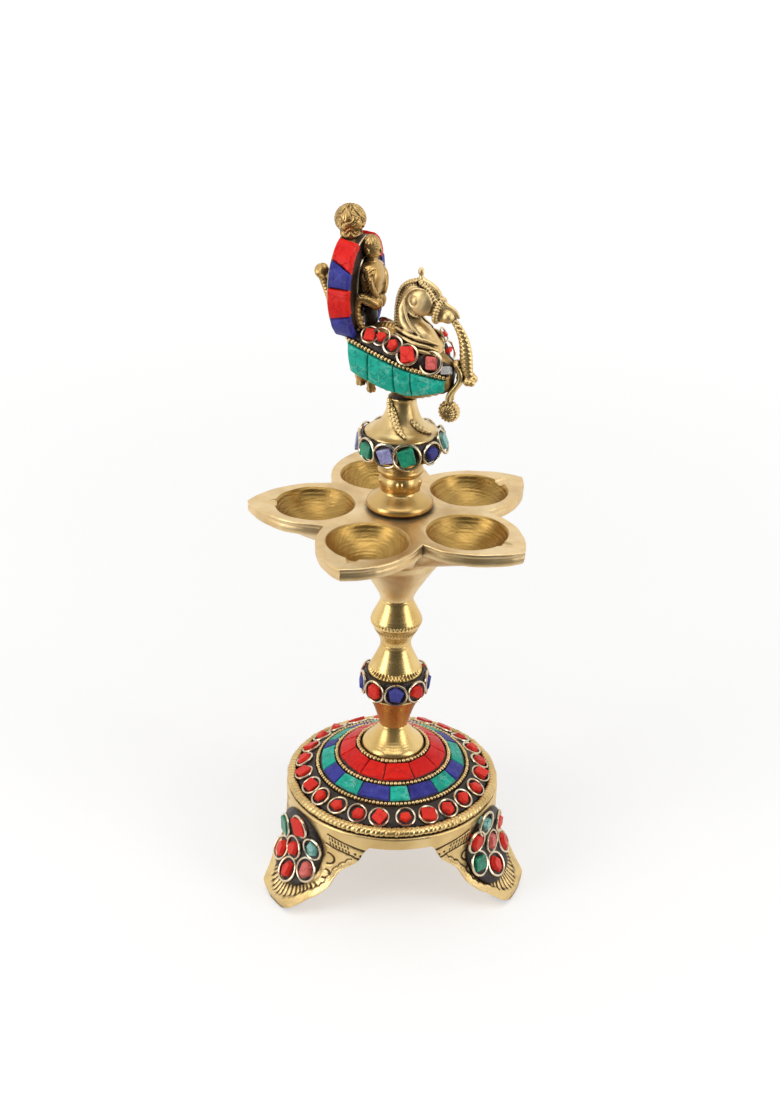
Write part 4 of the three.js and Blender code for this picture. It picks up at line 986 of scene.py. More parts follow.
def base_casting():
    dense = np.linspace(-46, 46, 281)
    sparse = np.linspace(46, 74, 26)[1:-1]
    leg = np.concatenate([dense, sparse])
    offset = np.where(leg > 60, leg - 120, leg)
    wall_top = RIM_Z - 0.7
    share = np.linspace(0, 1, 84)
    z = wall_top + (arch_z(offset)[None] - wall_top) * share[:, None]
    carving, dark = leg_carving(np.broadcast_to(offset, z.shape), z)
    soft = held(np.minimum(share, 1 - share) / 0.02)[:, None]
    r = leg_r(z) - carving * soft
    azimuth = np.concatenate([LEG_AZIMUTHS[0] + leg + 120 * k for k in range(3)])
    r, z, low, dark = (np.tile(v, 3) for v in (r, z, arch_z(offset), dark))
    a = np.radians(azimuth)
    n = len(a)

    row = lambda radius, height: round_row(a, radius, height)

    rows = [row(BORE_R, dome_z(BOSS_R)), row(BOSS_R, dome_z(BOSS_R))]
    rows += [row(x, dome_z(x)) for x in (14, 20, 26, DOME_R - 0.3)]
    rows += [row(DOME_R, dome_z(DOME_R) - 0.3), row(DOME_R, RIM_Z), row(DRUM_R - 0.9, RIM_Z),
        row(DRUM_R - 0.35, RIM_Z - 0.12), row(DRUM_R - 0.08, RIM_Z - 0.4)]
    outside = polar(a, r, z)
    outside += outside * np.array([1, 1, 0]) * (0.0022 * ripple(outside, 14, 5))[..., None]
    first = len(rows)
    rows += list(outside[:-1])
    edge_r = r[-1]
    rows += [row(edge_r - 0.12, low + 0.22), row(edge_r - 0.45, low), row(edge_r - 1.3, low)]
    inner = lambda height: np.minimum(leg_r(height) - WALL, DRUM_R + TOE_REACH - TOE_DEPTH)
    rows += [row(inner(low) + 0.6, low), row(inner(low) + 0.1, low + 0.25)]
    for s in (0.9, 0.7, 0.45, 0.2, 0.0):
        h = wall_top - 1.2 + (low - wall_top + 1.2) * s
        rows.append(row(inner(h), h))
    rows += [row(26, dome_z(26) - WALL - 0.4), row(18, dome_z(18) - WALL - 0.5),
        row(BOSS_BOTTOM_R + 2, dome_z(BOSS_BOTTOM_R + 2) - WALL - 0.6),
        row(BOSS_BOTTOM_R, BOSS_BOTTOM_Z + 0.4), row(BOSS_BOTTOM_R - 0.4, BOSS_BOTTOM_Z),
        row(BORE_R, BOSS_BOTTOM_Z)]
    value = np.zeros((len(rows), n))
    value[first:first + len(dark) - 1] = dark[:-1]
    shells = add_rows(Shells(), rows, closed_rows=True, value=value)
    return piece("lamp_base", shells, "base", base_brass, ["base_casting"], crease=50)


base_casting()


# Stones on the dome. Joints are azimuths that were read off the real stones; the ones at
# the back follow the same rhythm.

CORAL_JOINTS = (5, 39, 73, 108, 142, 175, 204, 243, 270, 304, 336)
STONE_JOINTS = (1.7, 34.6, 55.3, 77, 98, 119, 141.5, 165.8, 178.2, 208.2, 228.5, 251.8, 277.9,
    294.2, 318.7, 340.5)
CORAL_RING = (12.2, 17.2)
STONE_RING = (19.2, 23.4)
TILE_LOW = 0.3
TILE_T = 1.6


EDGE_STEPS = np.array([0, 0.1, 0.22, 0.4, 0.7])


def edge_steps(length, middle):
    """Places along a side from 0 to 1, close together at both ends, where the edge rounds."""
    ends = EDGE_STEPS / length
    return np.concatenate([ends, np.linspace(ends[-1], 1 - ends[-1], middle + 2)[1:-1],
        1 - ends[::-1]])


def add_slab(shells, top, base, value=0.0):
    """A slab from a grid of top points; base moves a top point to the underside."""
    n, m = top.shape[:2]
    rim = ([(0, j) for j in range(m)] + [(i, m - 1) for i in range(1, n)] + [(n - 1,
        j) for j in range(m - 2, -1, -1)] + [(i, 0) for i in range(n - 2, 0, -1)])
    index = np.array([i * m + j for i, j in rim])
    under = base(top.reshape(-1, 3)[index])
    points = np.concatenate([top.reshape(-1, 3), under, under.mean(axis=0)[None]])
    k = np.arange(len(index))
    k2 = (k + 1) % len(index)
    first = n * m
    quads = np.concatenate([grid_faces(n, m, loop_cols=False), side_by_side(index[k2], index[k],
        first + k, first + k2)])
    tris = side_by_side(first + k2, first + k, np.full(len(k), first + len(index)))
    return shells.add(points, quads, tris, value)


def rounded_drop(distance, radius):
    t = held(1 - distance / radius)
    return radius * (1 - np.sqrt(held(1 - t ** 2)))


def dome_tile(shells, az0, az1, r0, r1, rng, tone, straight=(0.4, 0.5), gap=0.16):
    width = np.radians(az1 - az0) * (r0 + r1) / 2
    s = edge_steps(width, middle=14)
    t = edge_steps(r1 - r0, middle=5)
    ss, tt = np.meshgrid(s, t, indexing="ij")
    tilt = rng.uniform(-0.5, 0.5, 2)
    half, mid = np.radians(az1 - az0) / 2, np.radians(az0 + az1) / 2
    az = mid + half * (2 * ss - 1)

    def edge(radius, pull):
        chord = radius * cos(half) / cos(az - mid)
        return radius + (chord - radius) * pull

    r_in, r_out = edge(r0, straight[0]), edge(r1, straight[1])
    wobble = 0.07 * ripple(side_by_side(ss * width, tt * 4, ss * 0), 3.2, int(rng.integers(1e6)))
    r = r_in + (r_out - r_in) * tt + wobble
    az = az + np.radians(tilt[0] * 1.2 * (tt - 0.5)) - np.sign(2 * ss - 1) * gap / r * (np.abs(2 *
        ss - 1))
    d = np.minimum(np.minimum(ss, 1 - ss) * width, np.minimum(tt, 1 - tt) * (r1 - r0))
    rise = (TILE_LOW + TILE_T - rounded_drop(d, 0.42) + 0.05 * wobble / 0.07 + 0.1 * tilt[0] *
        (2 * ss - 1) + 0.1 * tilt[1] * (2 * tt - 1) - 0.1)
    top = side_by_side(r * cos(az), r * sin(az), dome_z(r) + rise)

    def base(p):
        rr = np.hypot(p[:, 0], p[:, 1])
        return side_by_side(p[:, 0], p[:, 1], dome_z(rr) + TILE_LOW)

    return add_slab(shells, top, base, tone)


def dome_stones():
    rng = default_rng(11)
    corals, lapises, turquoises = Shells(), Shells(), Shells()
    joints = sorted(CORAL_JOINTS)
    for a, b in zip(joints, joints[1:] + [joints[0] + 360]):
        dome_tile(corals, a, b, *CORAL_RING, rng, rng.uniform(-1, 1))
    joints = sorted(STONE_JOINTS)
    for i, (a, b) in enumerate(zip(joints, joints[1:] + [joints[0] + 360])):
        dome_tile((turquoises, lapises)[i % 2], a, b, *STONE_RING, rng, rng.uniform(-1, 1),
            straight=(0.3, 0.45))
    piece("coral_ring", corals, "base", coral, ["coral_tile_ring"], crease=40)
    piece("lapis_stones", lapises, "base", lapis, ["lapis_tiles"], crease=40)
    piece("turquoise_stones", turquoises, "base", turquoise,
        ["turquoise_tiles"], crease=40)


dome_stones()


def lac_lathe(shells, profile, columns, seed, lump=0.12):
    profile = even(profile, 0.45)
    profile[-1] = profile[0]
    return add_turned(shells, profile[:-1], columns, relief=lambda a, r,
        z: lump * ripple(polar(a, r, z), 2.6, seed))


def dome_lac():
    bed = Shells()
    for r0, r1, top in ((12.05, 17.35, 1.15), (19.05, 23.55, 1.15)):
        lac_lathe(bed, [(r0, dome_z(r0) + 0.03), (r0, dome_z(r0) + top), (r1, dome_z(r1) + top),
            (r1, dome_z(r1) + 0.03), (r0, dome_z(r0) + 0.03)], 180, 3, 0.05)
    piece("stone_bed", bed, "base", black_lac)
    band = Shells()
    r0, r1 = 25.1, 31.1
    profile = [(r0, dome_z(r0) + 0.05), (r0, dome_z(r0) + 1.2), (r0 + 1, dome_z(r0 + 1) + 1.45),
        (r1 - 0.9, dome_z(r1 - 0.9) + 1.45), (r1, dome_z(r1) + 0.9), (r1, dome_z(r1) + 0.05),
        (r0, dome_z(r0) + 0.05)]
    lac_lathe(band, profile, 300, 4, 0.13)
    piece("dome_lac_band", band, "base", black_lac, ["base_cell_band"])


dome_lac()


def dome_beads():
    for name, node, r, size, seed in (("inner_bead_wire", "bead_ring_inner", 11.2, 0.72, 2),
            ("middle_bead_wire", "bead_ring_middle", 18.2, 0.68, 3),
            ("outer_bead_wire", "bead_ring_outer", 24.4, 0.66, 4)):
        beads = bead_row(name, round_row(rad(np.arange(0, 360, 2)), r, dome_z(r) + 1.3), size,
            size * 1.9, seed, closed=True)
        seat = Shells()
        low, wide = dome_z(r), 0.3
        rr = np.array([r - wide, r - wide, r + wide, r + wide])
        add_turned(seat, side_by_side(rr, low + (r - rr) * DOME_SLOPE + np.array([0.05, 0.9, 0.9,
            0.05])), 180)
        mesh = joined(name, [beads, new_mesh(name + "_seat", *seat.arrays())])
        finish_piece(new_object(mesh, name), "base", bead_brass, [node])


dome_beads()


ROPE_R, ROPE_Z = 32.85, 33.95


def rope_rim():
    """A twisted rim: the strands slant, and their tips show at the outer edge."""
    strands, columns, sides = 136, 1360, 24
    a = full_circle(columns)
    t = full_circle(sides)
    phase = a[:, None] * strands - 1.3 * sin(t) + 1.1 * cos(t)
    tooth = np.abs(cos(phase / 2)) ** 0.7
    swell = 1 + 0.1 * ripple(side_by_side(cos(a), sin(a), 0 * a) * 33, 3.0, 17)[:, None]
    size = (1.2 + 0.24 * tooth) * swell
    r = ROPE_R + 1.04 * size * cos(t)
    z = ROPE_Z + 0.86 * size * sin(t) - 0.25 * cos(t)
    rows = side_by_side(r * cos(a)[:, None], r * sin(a)[:, None], z)
    value = held(0.9 - 1.9 * tooth)
    shells = add_rows(Shells(), rows, closed_rows=True, value=value)
    piece("rope_rim_wire", shells, "base", rope_brass, ["rope_rim"], crease=60)


rope_rim()


BASE_CELLS = (2.9, 18, 33, 48, 63, 78.5, 94, 109.5, 125, 140, 155, 170, 185, 199.6, 215.5, 228.9,
    243.2, 257.6, 272.2, 288.7, 303.5, 317.5, 332.1, 347.4)


CELL_R = 28.15


def dome_frame(az, r, over):
    e = polar(rad(az), 1.0, 0.0)
    out = unit(e * DOME_SLOPE + np.array([0, 0, 1.0]))
    return e * r + np.array([0, 0, dome_z(r)]) + out * over, out, -e


def dome_cells():
    rng = default_rng(23)
    places, chips = [], Shells()
    for az in BASE_CELLS:
        r = CELL_R + rng.uniform(-0.25, 0.25)
        centre, out, up = dome_frame(az + rng.uniform(-0.5, 0.5), r, 1.5)
        places.append((centre, unit(out + rng.normal(0, 0.05, 3))))
        spot = centre + np.cross(up, out) * rng.uniform(-0.3, 0.3) - out * 0.6
        add_chip(chips, spot, out + rng.normal(0, 0.08, 3), up + rng.normal(0, 0.4, 3),
            rng.uniform(1.75, 2.3, 2), 1.8, rng, rng.random() < 0.35, rng.uniform(-1, 1))
    wire_cells("dome_cell_wires", "base", places, 3.02, 0.36, 5)
    piece("dome_chips", chips, "base", coral, ["base_cell_chips"], crease=12)


dome_cells()


# Lac panels on the legs, with seven wire cells each

def leg_frame(leg_az, arc, z, over=0.0):
    r = float(leg_r(z))
    a = rad(leg_az) + arc / r
    e = polar(a, 1.0, 0.0)
    slope = float(leg_r(z + 0.5) - leg_r(z - 0.5))
    out = unit(e - np.array([0, 0, slope]))
    return e * r + np.array([0, 0, z]) + out * over, out, unit(np.array([0, 0, 1.0]) + e * slope)


# Cells of each panel: place along the leg's curve, height, and the stone
LEG_CELLS = {1: ((-3.2, 28.6, "aqua"), (7.8, 22.3, "coral"), (-7.9, 24.2, "coral"),
    (1.0, 18.9, "pink"), (8.6, 13.6, "coral"), (-7.6, 15.6, "green"), (-1.0, 11.6, "coral")),
    2: ((0, 19, "coral"), (0, 27.3, "coral"), (7.2, 23.1, "aqua"), (7.2, 14.9, "coral"),
    (0, 10.7, "pink"), (-7.2, 14.9, "coral"), (-7.2, 23.1, "green")), 3: ((-8.2, 20.8, "green"),
    (1.8, 27.0, "coral"), (-6.9, 13.0, "coral"), (-0.8, 17.0, "coral"), (7.8, 21.8, "aqua"),
    (0.7, 10.2, "coral"), (7.4, 13.6, "pink")),}
STONE_SLOTS = {"coral": ("coral_stone", coral), "pink": ("coral_stone", pink_chip),
    "aqua": ("turquoise_stone", aqua_chip), "green": ("turquoise_stone", emerald_chip),
    "lapis": ("lapis_stone", lapis), "lavender": ("lapis_stone", lavender_chip),
    "pale": ("turquoise_stone", pale_chip)}


def chip_pieces(name, chips, body, node, main=None):
    """A piece for each kind of chip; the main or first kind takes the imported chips' place."""
    main = main or next(iter(chips))
    for kind, shells in chips.items():
        slot, finish = STONE_SLOTS[kind]
        piece(name % kind, shells, body, finish, [node] if kind == main else [], crease=12)


def leg_panels():
    for leg, az in enumerate(LEG_AZIMUTHS, start=1):
        az = az + PANEL_TURNS[leg - 1]
        rng = default_rng(40 + leg)
        rows = []
        t = full_circle(72)
        shape = (np.abs(cos(t)) ** 2.4 + np.abs(sin(t)) ** 2.4) ** (-1 / 2.4)
        shape = shape * (0.975 + 0.02 * cos(3 * t + leg) + 0.015 * sin(5 * t))
        for share, over in ((1.0, -0.3), (1.0, 0.7), (0.975, 1.15), (0.93, 1.4), (0.84, 1.5),
                (0.72, 1.5), (0.6, 1.5), (0.48, 1.5), (0.36, 1.5), (0.24, 1.5), (0.12, 1.5)):
            line = []
            for angle, k in zip(t, shape):
                arc = PANEL_HALF_W * share * k * cos(angle)
                z = PANEL_Z + PANEL_HALF_H * share * k * sin(angle)
                p, out, _ = leg_frame(az, arc, z, over)
                line.append(p + out * 0.2 * ripple(p, 2.4, 60) * (over > 1))
            rows.append(line)
        piece(f"leg_lac_{leg}", add_rows(Shells(), rows), "base", black_lac,
            [f"leg_panel_{leg}"])
        places, chips = [], {}
        for arc, z, kind in LEG_CELLS[leg]:
            centre, out, up = leg_frame(az, arc, z, 1.75)
            places.append((centre, unit(out + rng.normal(0, 0.04, 3))))
            square = kind == "green" or rng.random() < 0.2
            half = (2.3, 2.55) if kind in ("aqua", "green") else (2.45, 2.9)
            add_chip(chips.setdefault(kind, Shells()), centre - out * 1.15,
                out + rng.normal(0, 0.06, 3), up + rng.normal(0, 0.2, 3),
                np.array(half) * rng.uniform(0.95, 1.05, 2), 2.2, rng, square, rng.uniform(-1, 1))
        wire_cells(f"leg_cell_wires_{leg}", "base", places, 3.72, 0.4, 50 + leg, 0.06)
        chip_pieces(f"leg_%s_chips_{leg}", chips, "base", f"leg_chips_{leg}", "coral")


leg_panels()


# Rod, washer and nut keep their shape
for node in ("tie_rod", "base_washer", "base_nut"):
    steel_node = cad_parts[node]
    steel_node.data.materials.clear()
    steel_node.data.materials.append(rod_steel)


# Turned pieces on the rod

def raised(profile, z):
    return [(r, h + z) for r, h in profile]


def milled(centre_z, width, count, depth):
    """Small upright cuts in a line round a turned piece."""
    def relief(a, r, z):
        fade = held(1 - np.abs(z - centre_z) / width) ** 0.5
        return fade * depth * (cos(a * count) - 0.4)
    return relief


def turned_piece(name, node, profile, columns=128, relief=None, body="base", bore=True,
        finish=turned_brass):
    line = even(smooth_line(profile, 6), 0.28)
    if bore:
        rows = np.concatenate([line, [(BORE_R, line[-1, 1]), (BORE_R, line[0, 1])]])
        shells = add_turned(Shells(), rows, columns, relief=relief)
    else:
        shells = add_turned(Shells(), line, columns, closed=False, relief=relief)
    return piece(name, shells, body, finish, [node])


FOOT = raised([(8.6, 0.02), (9.6, 0.0), (10.0, 0.35), (10.0, 1.1), (9.6, 1.9), (8.4, 3.0),
    (6.9, 4.5), (5.7, 6.1), (4.95, 7.5), (4.68, 8.5), (4.55, 8.72)], FOOT_Z)
BELL = raised([(4.5, -0.06), (4.7, 0.05), (5.0, 1.5), (5.7, 4.0), (6.8, 7.0), (8.0, 9.6),
    (8.6, 10.9), (8.6, 11.8), (8.6, 15), (8.6, 19.2), (8.5, 20.0), (7.9, 21.5), (6.7, 24.0),
    (5.7, 26.2), (5.05, 27.9), (4.85, 28.8), (4.85, 29.4), (4.75, 29.52)], BELL_Z)
KNOP = raised([(4.75, -0.06), (4.85, 0.1), (5.0, 1.2), (5.6, 2.7), (6.6, 4.7), (7.4, 6.3),
    (7.75, 6.9), (8.0, 7.5), (8.0, 8.6), (7.75, 9.4), (7.3, 10.4), (6.4, 12.2), (5.6, 13.9),
    (5.2, 15.0), (5.15, 15.8), (5.05, 15.97)], KNOP_Z)


def foot_marks(a, r, z):
    return 0.02 * sin((z - FOOT_Z) * 9.0) * ((z > FOOT_Z + 2) & (r > 4.6))


turned_piece("stem_foot_cone", "stem_foot", FOOT, relief=foot_marks)
turned_piece("stem_bell_cone", "stem_bell", BELL, columns=368, relief=milled(BELL_Z + 20.6, 0.8,
    46, 0.26))


def knop_marks(a, r, z):
    upper = milled(KNOP_Z + 8.1, 0.45, 44, 0.2)(a, r, z)
    lower = milled(KNOP_Z + 5.0, 0.95, 44, 0.26)(a, r, z)
    return upper + lower


turned_piece("stem_knop_ball", "stem_knop", KNOP, columns=352, relief=knop_marks)


def pinned_barrel(a, r, z):
    """Five small round pins on the barrel over the flange."""
    total = np.zeros_like(r)
    for k in range(5):
        off = np.angle(np.exp(1j * (a - rad(278 + 72 * k)))) * 6.2
        total += 0.42 * np.exp(-((off ** 2 + (z - FINIAL_Z - 9.3) ** 2) / 0.62) ** 2)
    return total * (r > 5)


FINIAL_FOOT = raised([(8.2, -0.25), (8.9, -0.2), (9.7, 0.4), (10.1, 1.1), (10.1, 1.9), (9.6, 2.7),
    (8.6, 3.5), (7.2, 4.5), (6.2, 5.4), (5.9, 6.0), (6.05, 6.6), (6.3, 7.4), (6.4, 8.4),
    (6.3, 9.6), (6.0, 10.5), (5.85, 10.8), (6.1, 11.3), (6.6, 11.6), (6.85, 12.1), (6.8, 12.8),
    (6.4, 13.3), (6.0, 13.95), (5.9, 14.15)], FINIAL_Z)
turned_piece("barrel_and_flange", "finial_foot", FINIAL_FOOT, columns=240, relief=pinned_barrel,
    body="finial_foot", finish=bowl_brass)

PEDESTAL = raised([(0.0, 0.02), (5.6, 0.0), (6.0, 0.15), (7.0, 0.9), (8.6, 1.9), (10.2, 2.9),
    (11.0, 3.7), (11.0, 5.0), (11.0, 9.9), (10.6, 10.4), (9.4, 10.9), (8.3, 11.7), (7.1, 12.7),
    (6.0, 14.1), (5.2, 15.8), (4.6, 17.4), (4.2, 19.0), (4.15, 20.2), (4.3, 21.0), (3.6, 21.15),
    (0.0, 21.15)], PEDESTAL_Z)


def pedestal_marks(a, r, z):
    return 0.04 * ripple(side_by_side(a * 6, r, z), 3.0, 8) * (r > 3)


turned_piece("pedestal_cone", "finial_pedestal", PEDESTAL, columns=160, bore=False,
    relief=pedestal_marks, body="finial", finish=cast_brass)


# Ribbed ridges down the pedestal, like a bird's shanks: azimuth, radius and height
RIDGES = (((222, 4.5, 20.9), (230, 4.7, 19.0), (240, 5.2, 16.9), (252, 6.0, 15.0)),
    ((243, 4.7, 18.4), (255, 5.5, 16.2), (267, 6.7, 14.1), (278, 8.0, 12.6), (286, 9.2, 11.6)),
    ((312, 5.7, 14.9), (322, 6.8, 13.5), (332, 8.0, 12.5), (343, 9.5, 11.5)))


def ridge_legs():
    shells = Shells()
    for ridge in RIDGES:
        a, r, h = np.transpose(ridge)
        line = side_by_side(r * cos(rad(a)), r * sin(rad(a)), h + PEDESTAL_Z)
        path = even(smooth_line(line, 8), 0.2)
        n = np.arange(len(path)) / len(path)
        radius = np.interp(n, (0, 0.2, 0.6, 1), (0.75, 1.05, 1.0, 0.45))
        add_rod(shells, path, radius * (1 + 0.1 * cos(n * len(path) * 0.2 * 5.2)), sides=14)
    piece("pedestal_ridges", shells, "finial", painted_highlight_brass, crease=60)


ridge_legs()


# Bands of cells on the bell and on the collar

def band_lac(name, node, r0, r1, z0, z1, body):
    c = 0.5
    profile = [(r0, z0), (r1 - c, z0), (r1, z0 + 0.9), (r1 + 0.15, (z0 + z1) / 2), (r1, z1 - 0.9),
        (r1 - c, z1), (r0, z1), (r0, z0)]
    shells = Shells()
    lac_lathe(shells, profile, 200, 9, 0.2)
    piece(name, shells, body, black_lac, [node])


def band_cells(name, node, cells, r, z, ring, wire, chip, body, seed, sizes):
    """cells are (azimuth, kind, height off the middle, lean of the face upward); sizes says
    which azimuths have a bigger or smaller cell"""
    rng = default_rng(seed)
    places, chips = [], {}
    for az, kind, rise, lean in cells:
        e = polar(rad(az), 1.0, 0.0)
        up = np.array([0, 0, 1.0])
        out = unit(e * cos(rad(lean)) + up * sin(rad(lean)))
        centre = e * r + np.array([0, 0, z + rise])
        places.append((centre, out))
        add_chip(chips.setdefault(kind, Shells()), centre - out * 0.75, out,
            up + np.cross(up, e) * rng.uniform(-0.5, 0.5), np.array(chip) * rng.uniform(0.92, 1.08,
            2) * sizes.get(az, 1), 1.85, rng, kind in ("green", "aqua", "lavender"),
            rng.uniform(-1, 1))
    wire_cells(name + "_wires", body, places, ring, wire, seed, 0.04,
        [sizes.get(cell[0], 1.0) for cell in cells])
    chip_pieces(name + "_%s_chips", chips, body, node)


STEM_CELLS = [(282 + 40 * k, kind, 0.0, 0.0) for k, kind in enumerate(("lapis", "coral", "lapis",
    "coral", "lapis", "coral", "coral", "lapis", "coral"))]
COLLAR_CELLS = [(226.3, "green", 0, 0), (258.4, "lavender", 0, 0), (286.8, "green", 0, 0),
    (324.8, "lapis", 0, 0), (355.5, "aqua", 1.6, 24), (27, "green", 0, 0), (61, "coral", 0, 0),
    (94, "lapis", 0, 0), (128, "green", 0, 0), (161, "coral", 0, 0), (194, "lavender", 0.3, 0)]

band_lac("stem_lac_band", "stem_cell_band", 8.7, 9.9, 65.8, 73.2, "base")
band_cells("stem_cell", "stem_chips", STEM_CELLS, 10.3, 69.6, 3.5, 0.37, (2.45, 2.6), "base", 61,
    {})
band_lac("collar_lac_band", "collar_cell_band", 11.1, 12.1, 148.2, 154.4, "finial")
band_cells("collar_cell", "collar_chips", COLLAR_CELLS, 12.5, 151.3, 3.45, 0.38, (1.95, 2.05),
    "finial", 62, sizes={286.8: 1.16, 258.4: 1.04, 324.8: 0.98})


# Petal plate

PETAL_EDGE = [(0, 1), (1.2, 0.99), (4, 0.966), (8, 0.928), (12, 0.888), (20, 0.795), (28, 0.688),
    (33, 0.612), (36, 0.576)]
UNDER_TIP = [(0, 0), (0.1, 0.35), (0.36, 0.44), (0.65, 0.68), (0.9, 0.94), (1, 1)]
UNDER_NOTCH = [(0, 0), (0.4, 0.42), (0.76, 0.88), (1, 1)]


def soft_table(table, x, width):
    x = np.asarray(x, float)
    table = np.asarray(table, float)
    spots = np.linspace(-width, width, 9)
    weights = np.exp(-(spots / width * 1.4) ** 2)
    values = sum(w * np.interp(np.abs(x + s), table[:, 0], table[:, 1]) for w,
        s in zip(weights, spots))
    return values / weights.sum()


def petal_plate():
    half = np.concatenate([np.linspace(0, 4, 9), np.linspace(4, 36, 57)[1:]])
    offset = np.concatenate([-half[::-1][:-1], half[:-1]])
    azimuth = np.concatenate([PLATE_AZ + offset + 72 * k for k in range(PETALS)])
    off = np.tile(offset, PETALS)
    a = np.radians(azimuth)
    edge = TIP_R * np.interp(np.abs(off), *np.array(PETAL_EDGE).T)
    notch = np.abs(off) / 36.0

    row = lambda radius, height: round_row(a, radius, height)

    low = PLATE_TOP - EDGE_H
    funnel_top = PLATE_Z + 15.4
    rows = [row(BORE_R, PLATE_TOP)]
    rows += [row(BORE_R + (edge - 1.0 - BORE_R) * s, PLATE_TOP) for s in (0.3, 0.6, 0.85, 1)]
    for inset, drop in ((0.5, 0.02), (0.22, 0.12), (0.06, 0.3), (0.0, 0.6), (0.12, 1.0),
            (0.32, 1.35), (0.3, 1.6), (0.12, 1.9), (0.1, 2.6), (0.15, 3.2), (0.35, 3.6)):
        rows.append(row(edge - inset, PLATE_TOP - drop))
    for s in np.linspace(1, 0, 26):
        rise = (soft_table(UNDER_TIP, s, 0.05) * (1 - notch) + soft_table(UNDER_NOTCH, s,
            0.05) * notch)
        rows.append(row(FUNNEL_R + (edge - 0.6 - FUNNEL_R) * s,
            funnel_top + (low - funnel_top) * rise))
    funnel = smooth_line([(13.9, 15.3), (13.3, 13.6), (11.5, 10.9), (9.9, 8.5), (8.6, 6.4),
        (7.2, 4.1), (6.1, 2.2), (5.5, 0.9), (5.25, 0.1), (5.15, -0.1)], 5)
    rows += [row(r, PLATE_Z + h) for r, h in funnel]
    for r, h in funnel[::-4]:
        rows.append(row(max(r - 2.6, BORE_R + 0.4), PLATE_Z + h))
    rows += [row(9.9, PLATE_TOP - 9), row(7.4, PLATE_TOP - 6), row(BORE_R, PLATE_TOP - 6)]
    body = new_object(new_mesh("petal_body", *add_rows(Shells(), rows, True).arrays()[:3]))
    sphere = (CUP_R ** 2 + CUP_DEPTH ** 2) / (2 * CUP_DEPTH)
    reach = np.arcsin(CUP_R / sphere)
    bowl = []
    for t in np.linspace(0.02, 0.965, 44):
        mark = 0.03 * sin(t * 190) + 0.025 * sin(t * 71 + 1)
        bowl.append(((sphere + mark) * sin(reach * t),
            PLATE_TOP - CUP_DEPTH + sphere - (sphere + mark) * cos(reach * t)))
    bowl += [(CUP_R - 0.12, PLATE_TOP - 0.5), (CUP_R + 0.02, PLATE_TOP - 0.22),
        (CUP_R + 0.22, PLATE_TOP - 0.06), (CUP_R + 0.5, PLATE_TOP), (CUP_R + 0.5, PLATE_TOP + 1)]
    tools = Shells()
    for k in range(PETALS):
        turn = turn_z(PLATE_AZ + 72 * k)
        add_rows(tools, (turned_rows(bowl, 96) + np.array([CUP_CENTRE_R, 0, 0])) @ turn.T)
    cut_with(body, tools)
    spouts = Shells()
    for k in range(PETALS):
        turn = turn_z(PLATE_AZ + 72 * k)
        path = smooth_line([(33.0, 0.2, PLATE_TOP - 0.9), (36.0, 0.4, PLATE_TOP - 0.25),
            (39.0, 0.7, PLATE_TOP + 0.2), (42.0, 1.0, PLATE_TOP + 0.5)], 5)
        add_rod(spouts, path @ turn.T, np.linspace(3.4, 0.9, len(path)), sides=24, flat=0.5)
    cut_with(body, spouts)
    mark_cups(body.data, sphere)
    body.data.name = body.name = "petal_cups"
    finish_piece(body, "plate", plate_brass, ["petal_plate"], crease=32)


def mark_cups(mesh, sphere):
    """Says which points lie in a cup, and how far they are from where its scratches turn."""
    co = read_points(mesh, "co") / MM
    inside, ring = np.zeros(len(co)), np.zeros(len(co))
    for k in range(PETALS):
        a = rad(PLATE_AZ + 72 * k)
        centre = CUP_CENTRE_R * np.array([cos(a), sin(a)])
        d = norm(co[:, :2] - centre, axis=1)
        wall = PLATE_TOP - CUP_DEPTH + sphere - np.sqrt(np.clip(sphere ** 2 - d ** 2, 0, None))
        here = (d < CUP_R + 0.05) & (np.abs(co[:, 2] - wall) < 0.35)
        off = centre + 4.5 * np.array([cos(a + 2.2 + k), sin(a + 2.2 + k)])
        inside = np.where(here, 1.0, inside)
        ring = np.where(d < CUP_R + 2, norm(co[:, :2] - off, axis=1) + 31 * k, ring)
    co += 0.1 * ripple(co, 9.0, 2)[:, None] * np.array([0.6, 0.6, 1.0])
    write_points(mesh, co)
    for name, values in (("cup", inside), ("cup_ring", ring)):
        layer = mesh.attributes.new(name, "FLOAT", "POINT")
        layer.data.foreach_set("value", values.astype(np.float32))


def cut_with(body, shells):
    tool = new_object(new_mesh("cutter", *shells.arrays()[:3]))
    cut = body.modifiers.new("cut", "BOOLEAN")
    cut.operation = "DIFFERENCE"
    cut.solver = "EXACT"
    cut.object = tool
    body.data = made_by_modifiers(body)
    bpy.data.objects.remove(tool)


petal_plate()


# Peacock. Each station: place along the back, half width at the wire, top, underside, and
# the lower edge of the wing stones

STATIONS = np.array([(-16.6, 5.2, 17.9, 11.5, 11.5), (-14.2, 8.8, 18.0, 7.6, 7.4),
    (-5.8, 10.2, 20.3, 2.6, 4.4), (1.2, 10.4, 19.4, 0.0, 3.2), (6.4, 9.4, 17.6, 0.4, 2.8),
    (14.6, 5.2, 13.2, 3.6, 4.9), (16.0, 2.6, 11.2, 6.0, 6.4)])
STATION_LINE = smooth_line(STATIONS, 10)
WALL_IN = 2.1
WING_LOW = 0.8


def station(x):
    return [np.interp(x, STATION_LINE[:, 0], STATION_LINE[:, k]) for k in range(1, 5)]


def wire_z(x):
    return BODY_H * 0.868 - (x + BODY_BACK) * 0.28


